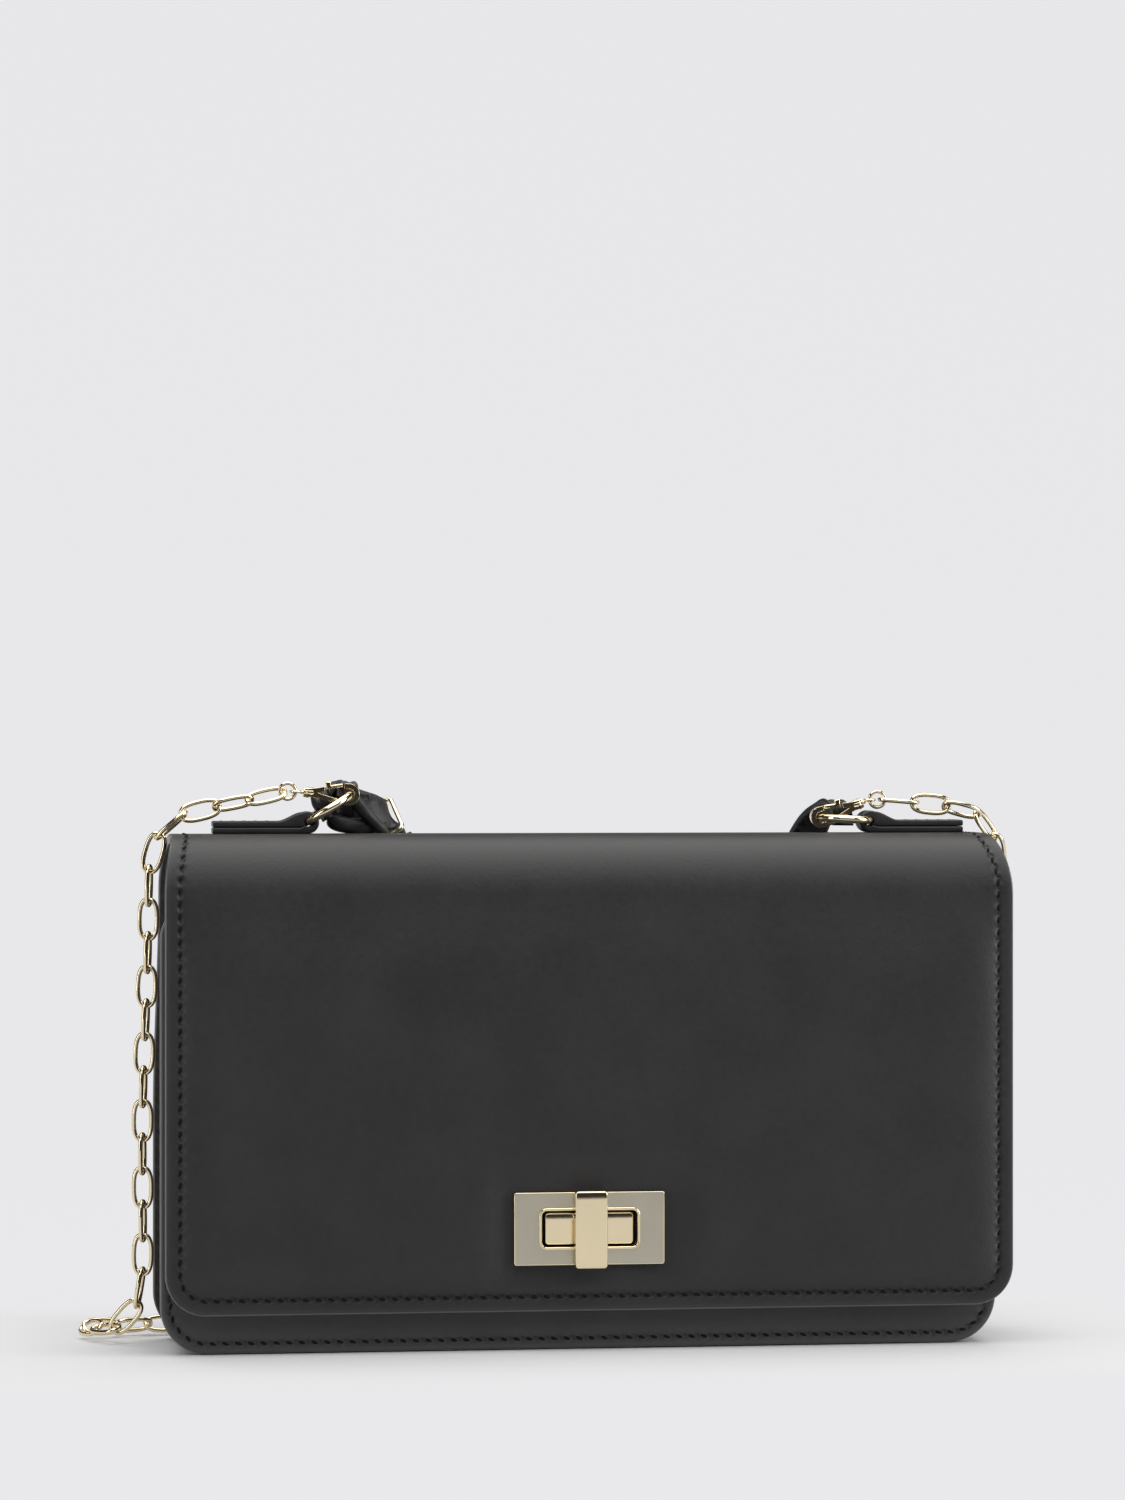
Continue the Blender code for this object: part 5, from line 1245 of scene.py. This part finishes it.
# Front panel: flat board covered in leather, sewn round its sides and base
PANEL_MARGIN, PANEL_ROUNDING, PANEL_STITCH_SINK = 0.0024, 0.0007, 0.00010
POST_HOLE_RADIUS, RIVET_HOLE_RADIUS, RIVET_ASIDE = 0.0026, 0.0013, 0.0072
PANEL_SEAM = Seam(PANEL_HEIGHT, PANEL_WIDTH / 2, PANEL_CORNER, PANEL_MARGIN)


def panel_half(z):
    corners = corner_inset(z, PANEL_CORNER) + corner_inset(PANEL_HEIGHT - z, PANEL_TOP_CORNER)
    return PANEL_WIDTH / 2 - corners


def panel_inside(share, z):
    return PANEL_WIDTH / 2 - abs(share) * panel_half(z)


def panel_from_edge(share, z):
    inside = panel_inside(share, z)
    from_top = corner_distance(inside, PANEL_HEIGHT - z, PANEL_TOP_CORNER)
    return min(corner_distance(inside, z, PANEL_CORNER), from_top)


def panel_surface(share, z, height):
    return (PANEL_ASIDE + share * panel_half(z), FRONT_FACE_Y - height, z)


def panel_heights(share, z):
    return -PANEL_THICK, -groove(panel_from_edge(share, z), PANEL_MARGIN)


def panel_seam(share, z):
    return PANEL_SEAM.reading(share, panel_inside(share, z), z, panel_from_edge(share, z))


def panel_stitch(side, inside, reach):
    x = PANEL_ASIDE + side * (PANEL_WIDTH / 2 - inside)
    return (x, FRONT_FACE_Y + PANEL_STITCH_SINK, reach), (0, -1, 0)


def make_panel():
    ends = list(FROM_EDGE[:-3])
    rows = ends + corner_rows(PANEL_CORNER) + spread(0.014, PANEL_HEIGHT - 0.012, 22)
    rows += [PANEL_HEIGHT - row for row in ends + corner_rows(PANEL_TOP_CORNER)]
    mesh = grid_sheet(
        "front_leather", border_columns(PANEL_WIDTH / 2, 24), thinned(rows, 0.00005), panel_surface,
        panel_heights, panel_from_edge, PANEL_ROUNDING, EDGE_PAINT, panel_seam,
    )
    holes = ((0, POST_HOLE_RADIUS), (-RIVET_ASIDE, RIVET_HOLE_RADIUS), (RIVET_ASIDE, RIVET_HOLE_RADIUS))
    mesh = cut_out(mesh, [
        rod_mesh(radius, (x, FRONT_FACE_Y - 0.003, LOCK_HEIGHT), (x, FRONT_FACE_Y + 0.005, LOCK_HEIGHT))
        for x, radius in holes
    ])
    add_object("front_leather", mesh, [PANEL_LEATHER_PAINTED_LIGHTER, EDGE_WITH_PAINTED_HIGHLIGHT, SUEDE], "bag", ["front_panel"])
    add_stitches("front_stitches", PANEL_SEAM.stitches(1, panel_stitch))


make_panel()


# Gusset: one strip down a side, under the base and up again, folded inwards at the sides
GUSSET_FRONT, GUSSET_BACK = FRONT_INNER_Y + GAP, BACK_INNER_Y - GAP
GUSSET_FOLD = 0.0030


def gusset_top(y):
    crest_y = SHOULDER_Y + LOOSE
    inner = REAR_SHOULDER - PANEL_THICK - LOOSE
    crest, front_top = BACK_RISE + inner, PANEL_HEIGHT - GAP
    if y < crest_y:
        return front_top + (crest - front_top) * (y - GUSSET_FRONT) / (crest_y - GUSSET_FRONT)
    if y < REAR_CENTRE_Y:
        return crest
    return BACK_RISE + math.sqrt(max(0.0, inner**2 - (y - REAR_CENTRE_Y) ** 2))


def gusset_surface(share, row, height):
    """A row is 0 at the top of one side and 1 at the top of the other."""
    y = GUSSET_FRONT + (GUSSET_BACK - GUSSET_FRONT) * (share + 1) / 2
    at = min(row, 1 - row) * 2
    if at <= 0.4:
        top = gusset_top(y)
        z = top + (GUSSET_CORNER - top) * at / 0.4
        middle = max(0.0, 1 - share * share)
        x = GUSSET_HALF - height - GUSSET_FOLD * middle * middle * ramp(z, 0.014, 0.070)
    elif at <= 0.5:
        angle = (at - 0.4) / 0.1 * math.pi / 2
        radius = GUSSET_CORNER - height
        x = GUSSET_HALF - GUSSET_CORNER + radius * math.cos(angle)
        z = GUSSET_CORNER - radius * math.sin(angle)
    else:
        x, z = (GUSSET_HALF - GUSSET_CORNER) * (1 - (at - 0.5) / 0.5), height
    return (GUSSET_ASIDE + (-x if row < 0.5 else x), y, z)


def make_gusset():
    rows = spread(0, 0.2, 26) + spread(0.2, 0.25, 8)[1:] + spread(0.25, 0.5, 16)[1:]
    rows += [1 - row for row in reversed(rows[:-1])]
    columns = mirrored(1, (0, 0.015, 0.05, 0.12, 0.25, 0.4, 0.55, 0.7, 0.85, 0.95))
    mesh = grid_sheet("gusset_leather", columns, rows, gusset_surface, lambda share, row: (GUSSET_THICK, 0))
    add_object("gusset_leather", mesh, [PLAIN_LEATHER, EDGE_WITH_PAINTED_HIGHLIGHT, SUEDE], "bag", ["gusset"])


make_gusset()


# Linings, card leaves and the patch behind the lock
for node in ("front_lining", "back_lining"):
    add_rounded(node + "_cloth", node, 0.0002, LINING, "bag")
for node in ("card_leaf_1", "card_leaf_2", "card_leaf_3", "lock_patch"):
    rounding = 0.0003 if node == "lock_patch" else 0.00025
    add_rounded(node + "_leather", node, rounding, PLAIN_LEATHER, "bag")


# Turn lock
PLATE_BACK = FLAP_FACE_Y - GAP
RIM_RISE, RIM_WIDTH, UNDER_RIM = 0.0006, 0.0007, 0.0002
RIM_FACE = PLATE_BACK - PLATE_THICK - RIM_RISE
BASE_BACK, BASE_FACE = FRONT_FACE_Y - GAP, RIM_FACE + 0.0010
BASE_WIDTH, BASE_HEIGHT, BASE_CORNER = 0.0208, 0.0075, 0.0009
BASE_ROUNDING, BASE_DOME = 0.0004, (0.0021, 0.010)
BAR_BACK, BAR_THICK = RIM_FACE - 0.0007, 0.0024
BAR_WIDTH, BAR_HEIGHT, BAR_CORNER = 0.0076, 0.0180, 0.0008
BAR_ROUNDING, BAR_DOME = 0.00045, (0.0070, 0.013)
POST_RADIUS = 0.0023


def lock_plate(loops, back, face, rounding, segments=3, polished=False, dome=None):
    place = front_place(0, (back + face) / 2, LOCK_HEIGHT)
    return rounded_plate(loops, back - face, rounding, place, segments, polished, dome)


def make_lock():
    outline = rounded_rectangle(PLATE_WIDTH, PLATE_HEIGHT, 0.0006, 4)
    under_rim, rim_loop, opening = (
        rounded_rectangle(SLOT_WIDTH + 2 * wider, SLOT_HEIGHT + 2 * wider, SLOT_CORNER + wider)
        for wider in (UNDER_RIM, RIM_WIDTH, 0)
    )
    plate = lock_plate([outline, under_rim], PLATE_BACK, PLATE_BACK - PLATE_THICK, 0.00034, polished=True)
    add_object(
        "lock_face_plate", plate, [SATIN_GOLD, GOLD], "flap", ["flap_plate"], smooth=False,
    )
    rim = lock_plate([rim_loop, opening], PLATE_BACK, RIM_FACE, 0.0003)
    add_object("lock_plate_rim", rim, [GOLD], "flap", (), smooth=False)
    base_loop = rounded_rectangle(BASE_WIDTH, BASE_HEIGHT, BASE_CORNER)
    base = lock_plate([base_loop], BASE_BACK, BASE_FACE, BASE_ROUNDING, dome=BASE_DOME)
    add_gold("lock_base_block", base, "lock_base", smooth=False)
    bar_loop = rounded_rectangle(BAR_WIDTH, BAR_HEIGHT, BAR_CORNER)
    bar = lock_plate([bar_loop], BAR_BACK, BAR_BACK - BAR_THICK, BAR_ROUNDING, 4, dome=BAR_DOME)
    bar_middle = (0, BAR_BACK - BAR_THICK / 2, LOCK_HEIGHT)
    post = rod_mesh(POST_RADIUS, bar_middle, (0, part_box("turn_bar")[1].y, LOCK_HEIGHT), 40)
    add_gold("turn_bar_fine", merged(bar, post), "turn_bar", "turn_lock", smooth=False)
    for node, body in (("flap_plate_backer", "flap"), ("lock_backer", "bag"), ("turn_bar_clip", "turn_lock")):
        add_rounded(node + "_fine", node, 0.0001, STEEL, body)


make_lock()


# Tabs on the crest: a strap folded round each ring
TAB_LIFT, TAB_CLEAR, TAB_APART, TAB_ROUNDING = 0.00002, 0.0002, 0.00003, 0.0004
TAB_BASE, TAB_NECK, TAB_TOP = TAB_BASE_Z - GAP, TAB_LENGTH * 0.62, 2 * TAB_STRAP
TAB_STITCHES, TAB_FIRST_STITCH, TAB_STITCH_PITCH = 5, 0.0022, 0.0027
TAB_SEAM_ASIDE, TAB_STITCH_SINK = 0.0021, 0.00018


def tab_sides():
    """Outer and inner line of the folded strap, point for point, and which points are at the ring."""
    centre, hole = (LOOP_CENTRE_FROM_END, LOOP_RADIUS), LOOP_HOLE_RADIUS
    ends = [0.0, 0.00006, 0.00018, 0.0004]
    low = TAB_STRAP + TAB_APART
    pinch = 180 + math.degrees(math.asin((LOOP_RADIUS - low) / hole))
    start = centre[0] + hole * math.cos(math.radians(pinch))
    under = ends + spread(0.001, start - 0.0004, 18)
    outer, inner = [(x, 0) for x in under], [(x, TAB_STRAP - TAB_APART) for x in under]
    under_arc = arc(centre, hole, pinch - 357, -90, 7)
    outer += [(x, 0) for x, z in under_arc] + arc(centre, LOOP_RADIUS, -90, 112, 28)[1:]
    inner += under_arc + arc(centre, hole, -90, 112, 28)[1:]
    end_out = Vector(outer[-1])
    closing = arc(centre, hole, 112, pinch, 7)[1:]
    closing += [(x, low) for x in spread(start - 0.0004, TAB_NECK, 6)]
    for step, place in enumerate(closing):
        share = (step + 1) / 14
        rise = (TAB_TOP - end_out.y) * ramp(share, 0, 1)
        outer.append((end_out.x + (TAB_NECK - end_out.x) * share, end_out.y + rise))
        inner.append(place)
    at_ring = range(len(under), len(inner) - 7)
    for x in spread(TAB_NECK, 0.001, 16)[1:] + ends[::-1]:
        outer.append((x, TAB_TOP))
        inner.append((x, low))
    return outer, inner, at_ring


def make_tab(side, end_x, towards, tilt):
    outer, inner, at_ring = tab_sides()
    half = TAB_WIDTH / 2
    hole = Vector((LOOP_CENTRE_FROM_END, LOOP_RADIUS))
    close = (RING_WIRE / 2 + TAB_CLEAR) / LOOP_HOLE_RADIUS

    def surface(share, station, height):
        out, into = Vector(outer[station]), Vector(inner[station])
        if station in at_ring:
            bow = RING_RADIUS - math.sqrt(RING_RADIUS**2 - (share * half) ** 2) - RING_BOW / 2
            into = hole + (into - hole) * close + Vector((math.cos(tilt), math.sin(tilt))) * bow
        drop = rounded_off(min((1 - abs(share)) * half, out.x), TAB_ROUNDING) / (into - out).length
        x, z = out.lerp(into, drop + (1 - 2 * drop) * height)
        return (end_x + towards * x, HARDWARE_Y + share * half, TAB_BASE + TAB_LIFT + z)

    name = f"tab_{side}_leather"
    mesh = strip(
        name, half, (0, 0.00005, 0.00015, 0.0003, 0.00045, 0.0010, 0.0017, 0.0024), len(outer), surface,
        (1, 0), 0, EDGE_PAINT,
    )
    add_object(name, mesh, [PLAIN_LEATHER, DARK_EDGE, PLAIN_LEATHER], "bag", [f"tab_{side}"])
    frames = []
    for y in (-TAB_SEAM_ASIDE, TAB_SEAM_ASIDE):
        for index in range(TAB_STITCHES):
            x = end_x + towards * (TAB_FIRST_STITCH + index * TAB_STITCH_PITCH)
            spot = Vector((x, HARDWARE_Y + y, TAB_BASE + TAB_TOP - TAB_STITCH_SINK))
            ahead = Vector((STITCH_REACH, 0, 0))
            frames.append(stitch_frame(spot, spot - ahead, spot + ahead, (0, 0, 1)))
    add_stitches(f"tab_{side}_stitches", frames)


make_tab("left", LEFT_TAB_END_X, 1, LEFT_RING_TILT)
make_tab("right", RIGHT_TAB_END_X, -1, RIGHT_RING_TILT)


# Handle strap, gathered where it is knotted, and its slide
STRAP_PITCH, STRAP_MARGIN, STRAP_ROUNDING, STRAP_WEAR = 0.0028, 0.0013, 0.0008, 0.0012
KNOT_WIDTH, KNOT_THICK, KNOT_LEAN, KNOT_AT = 0.0056, 0.0016, math.radians(18), 4.9
KNOT_SIDES, KNOT_ROUNDING, FOLD_WEAR = 48, 0.0007, 0.0010
# Folds of the knot: middle line, then width and thickness
KNOT_FOLDS = (
    (((-0.0584, 0.0078, 0.1236), (-0.0556, 0.0082, 0.1223), (-0.0520, 0.0088, 0.1217),
      (-0.0484, 0.0096, 0.1215), (-0.0452, 0.0106, 0.1212)), 0.0040, 0.0024),
    (((-0.0562, 0.0086, 0.1312), (-0.0540, 0.0074, 0.1308), (-0.0519, 0.0072, 0.1280),
      (-0.0489, 0.0078, 0.1243), (-0.0456, 0.0088, 0.1208), (-0.0440, 0.0098, 0.1190)), 0.0030, 0.0019),
)


def worn_edge(half, wear):
    """What the sewn leather reads where nothing is sewn."""
    return lambda share, station: (0.25, 5.0, 1 - ramp((1 - abs(share)) * half, 0.0, wear))


def strap_turn(place, heading, across, width_share):
    """The turn of the knot that goes round the strap, leaning across it."""
    half = KNOT_WIDTH / 2
    facing = heading.cross(across)
    along = Matrix.Rotation(KNOT_LEAN, 3, facing) @ heading
    high, deep = STRAP_WIDTH / 2 * width_share - 0.0008, STRAP_THICK / 2 + 0.0007
    rise = along.cross(facing).normalized()
    if rise.z < 0:
        rise = -rise

    def surface(share, station, height):
        angle = 2 * math.pi * station / KNOT_SIDES
        out = facing * math.cos(angle) * deep + rise * math.sin(angle) * high
        outward = (facing * math.cos(angle) / deep + rise * math.sin(angle) / high).normalized()
        crease = 0.0003 * math.sin(share * 5 + 2 * angle)
        return place + out + outward * (height + crease) + along * share * half

    work = opened(strip(
        "knot", half, (0, 0.0001, 0.0003, 0.0006, 0.001, 0.0016), KNOT_SIDES + 1, surface, (0, KNOT_THICK),
        KNOT_ROUNDING, seam=worn_edge(half, STRAP_WEAR),
    ))
    ends = [
        face for face in work.faces
        if all(abs((v.co - place).dot(rise)) < 1e-6 and (v.co - place).dot(facing) > 0 for v in face.verts)
    ]
    bmesh.ops.delete(work, geom=ends, context="FACES")
    weld(work)
    face_out(work)
    return to_mesh("knot", work)


def strap_fold(route, width, thick):
    """A thick fold of the knot, narrowing to both ends."""
    places = smooth_route(route, 8)
    last, half = len(places) - 1, width / 2

    def surface(share, station, height):
        heading = (places[min(station + 1, last)] - places[max(station - 1, 0)]).normalized()
        across = heading.cross(Vector((0, -1, 0))).normalized()
        narrow = math.sqrt(max(0.02, 1 - (2 * station / last - 1) ** 6))
        bow = thick * 0.35 * share * share + 0.00012 * math.sin(9 * share + station * 0.5)
        return places[station] + (across * share * half + Vector((0, bow - height, 0))) * narrow

    return strip(
        "fold", half, (0, 0.0001, 0.0003, 0.0006, 0.001), last + 1, surface, (-thick / 2, thick / 2),
        STRAP_ROUNDING, seam=worn_edge(half, FOLD_WEAR),
    )


def strap_frames():
    """Place, heading, width direction and width share at every station of the strap."""
    points = [
        (LEFT_LOOP_X + (RIGHT_LOOP_X - LEFT_LOOP_X) * way + x, y, BAG_HEIGHT + z)
        for way, (x, y, z), across, share in STRAP_ROUTE
    ]
    places = smooth_route(points, STRAP_STEPS)
    widths = smooth_route([across for way, place, across, share in STRAP_ROUTE], STRAP_STEPS)
    shares = smooth_route([(share, 0, 0) for way, place, across, share in STRAP_ROUTE], STRAP_STEPS)
    frames = []
    for index, place in enumerate(places):
        before, after = places[max(index - 1, 0)], places[min(index + 1, len(places) - 1)]
        heading = (after - before).normalized()
        frames.append((place, heading, squared(widths[index], heading), shares[index].x))
    return frames


def make_strap():
    frames = strap_frames()
    half, thick = STRAP_WIDTH / 2, STRAP_THICK / 2
    last = len(frames) - 1

    def surface(share, station, height):
        place, heading, across, width_share = frames[station]
        point = station / STRAP_STEPS
        gathered = 1 - ramp(min(station, last - station) / STRAP_STEPS, 2.0, 6.5)
        folds = gathered * 0.00032 * math.sin(share * 7.5 + point * 1.3)
        lean = gathered * 0.0004 * math.sin(point * 2.4) * share
        tip = place + across * share * half * width_share
        return tip + heading.cross(across) * (height * width_share ** 0.5 + folds + lean)

    def seam(share, station):
        walked = line_length([frame[0] for frame in frames[:station + 1]])
        from_edge = (1 - abs(share)) * half
        return (walked / STRAP_PITCH, (from_edge - STRAP_MARGIN) * 1000, 1 - ramp(from_edge, 0.0, STRAP_WEAR))

    strap = strip(
        "strap", half, (0, 0.00008, 0.00025, 0.0005, 0.0008, 0.0012, 0.0018, 0.0026, 0.0034), last + 1,
        surface, (-thick, thick), STRAP_ROUNDING, EDGE_PAINT, seam,
    )
    folds = [strap_fold(*fold) for fold in KNOT_FOLDS]
    mesh = merged(strap, strap_turn(*frames[round(KNOT_AT * STRAP_STEPS)]), *folds)
    add_object(
        "handle_strap_leather", mesh, [LEATHER, DARK_EDGE, LEATHER], "bag", ["handle_strap"]
    )
    place, heading, across, width_share = frames[SLIDE_POINT * STRAP_STEPS]
    slide = wire_mesh(rounded_rectangle(SLIDE_WIDTH, SLIDE_HEIGHT, SLIDE_WIRE), SLIDE_WIRE, 4)
    slide.transform(Matrix.Translation(place) @ axes(across, heading))
    add_gold("strap_slide_wire", slide, "strap_slide")


make_strap()


# Stage and light
STAGE_COLOUR = (0.812, 0.812, 0.829, 1)
STAGE_FRONT, STAGE_FLAT_END, STAGE_BEND, STAGE_TOP, STAGE_HALF = -2.0, 0.6, 0.8, 2.4, 3


def stage_paper():
    """Paper that glows to the camera and in the metal, but not close to the bag, where shadows fall. High up
    and far in front, reflected rays see it painted dark: a painted dark reflection in the metal.
    """
    made = Finish("studio_paper")
    paths = made.add("LightPath")
    mirrored_ray = paths.output("Is Glossy Ray")
    split = made.add("SeparateXYZ", None, {"Vector": made.place()})
    ahead, height = split.output("Y"), split.output("Z")
    away = split.work("MAXIMUM", split.size().within(0.085, 0.16), ahead.size().within(0.020, 0.095))
    away = away.work("MAXIMUM", away, height.within(0.0, 0.04))
    # Painted dark reflection: for reflected rays the paper turns near black high up and far in front, and
    # glows less there.
    painted_dark_reflection = mirrored_ray * (1 - (1 - height.within(0.10, 0.55)) * (1 - (ahead * -1).within(0.6, 1.0)))
    cloud = made.cloud(made.place(), 3.0)
    tone = made.tint((cloud * 0.02 + 0.98) * (1 - painted_dark_reflection), (0.06, 0.06, 0.06), (0.595, 0.595, 0.605))
    made.shade("Base Color", tone)
    made.shade("Roughness", 0.9)
    glow = made.add("Emission", None, {"Color": STAGE_COLOUR, "Strength": 1.0})
    share = paths.work("MAXIMUM", paths, mirrored_ray - painted_dark_reflection) * away * 0.98
    both = made.add("MixShader", None, {0: share, 1: Signal(made, made.shader.outputs[0]), 2: glow})
    made.tree.links.new(both.socket, made.tree.nodes["Material Output"].inputs["Surface"])
    return made.material


def stage_line(at):
    """The backdrop in profile: a floor, a bend and a wall."""
    if at < 0.5:
        return STAGE_FRONT + at * 2 * (STAGE_FLAT_END - STAGE_FRONT), 0
    if at < 0.75:
        angle = (at - 0.5) / 0.25 * math.pi / 2
        return STAGE_FLAT_END + STAGE_BEND * math.sin(angle), STAGE_BEND * (1 - math.cos(angle))
    return STAGE_FLAT_END + STAGE_BEND, STAGE_BEND + (at - 0.75) / 0.25 * (STAGE_TOP - STAGE_BEND)


def make_stage():
    work = bmesh.new()
    bmesh.ops.create_grid(work, x_segments=1, y_segments=24, size=1)
    for vertex in work.verts:
        vertex.co = (vertex.co.x * STAGE_HALF, *stage_line((vertex.co.y + 1) / 2))
    mesh = to_mesh("backdrop", work)
    mesh.shade_smooth()
    mesh.materials.append(stage_paper())
    backdrop = new_object("backdrop", mesh)
    backdrop.location.z = -0.0002


def add_lamp(name, place, size, power, colour=(1, 1, 1)):
    data = bpy.data.lights.new(name, "AREA")
    data.shape = "RECTANGLE"
    data.size, data.size_y = size
    data.energy = power
    data.color = colour
    lamp = new_object(name, data)
    lamp.location = place
    lamp.rotation_euler = (Vector((0, 0, 0.06)) - Vector(place)).to_track_quat("-Z", "Y").to_euler()


def make_light():
    """Lamps, and a world that is pale to the camera alone."""
    world = bpy.data.worlds.new("studio")
    bpy.context.scene.world = world
    world.use_nodes = True
    tree = world.node_tree
    background = tree.nodes["Background"]
    background.inputs["Color"].default_value = STAGE_COLOUR
    strength = tree.nodes.new("ShaderNodeMapRange")
    strength.inputs["To Min"].default_value = 0.04
    tree.links.new(tree.nodes.new("ShaderNodeLightPath").outputs["Is Camera Ray"], strength.inputs["Value"])
    tree.links.new(strength.outputs["Result"], background.inputs["Strength"])
    add_lamp("top_lamp", (0.0, 0.04, 0.95), (1.2, 1.2), 14.0, (1.0, 0.985, 0.95))
    add_lamp("right_lamp", (0.95, -0.35, 0.45), (0.5, 0.8), 8.0)
    add_lamp("left_lamp", (-0.85, -0.35, 0.35), (0.3, 0.7), 2.4)
    add_lamp("front_lamp", (0.05, -0.90, 0.90), (1.2, 0.5), 3.6, (0.96, 0.98, 1.0))


make_stage()
make_light()

bpy.context.scene.view_settings.view_transform = "Standard"
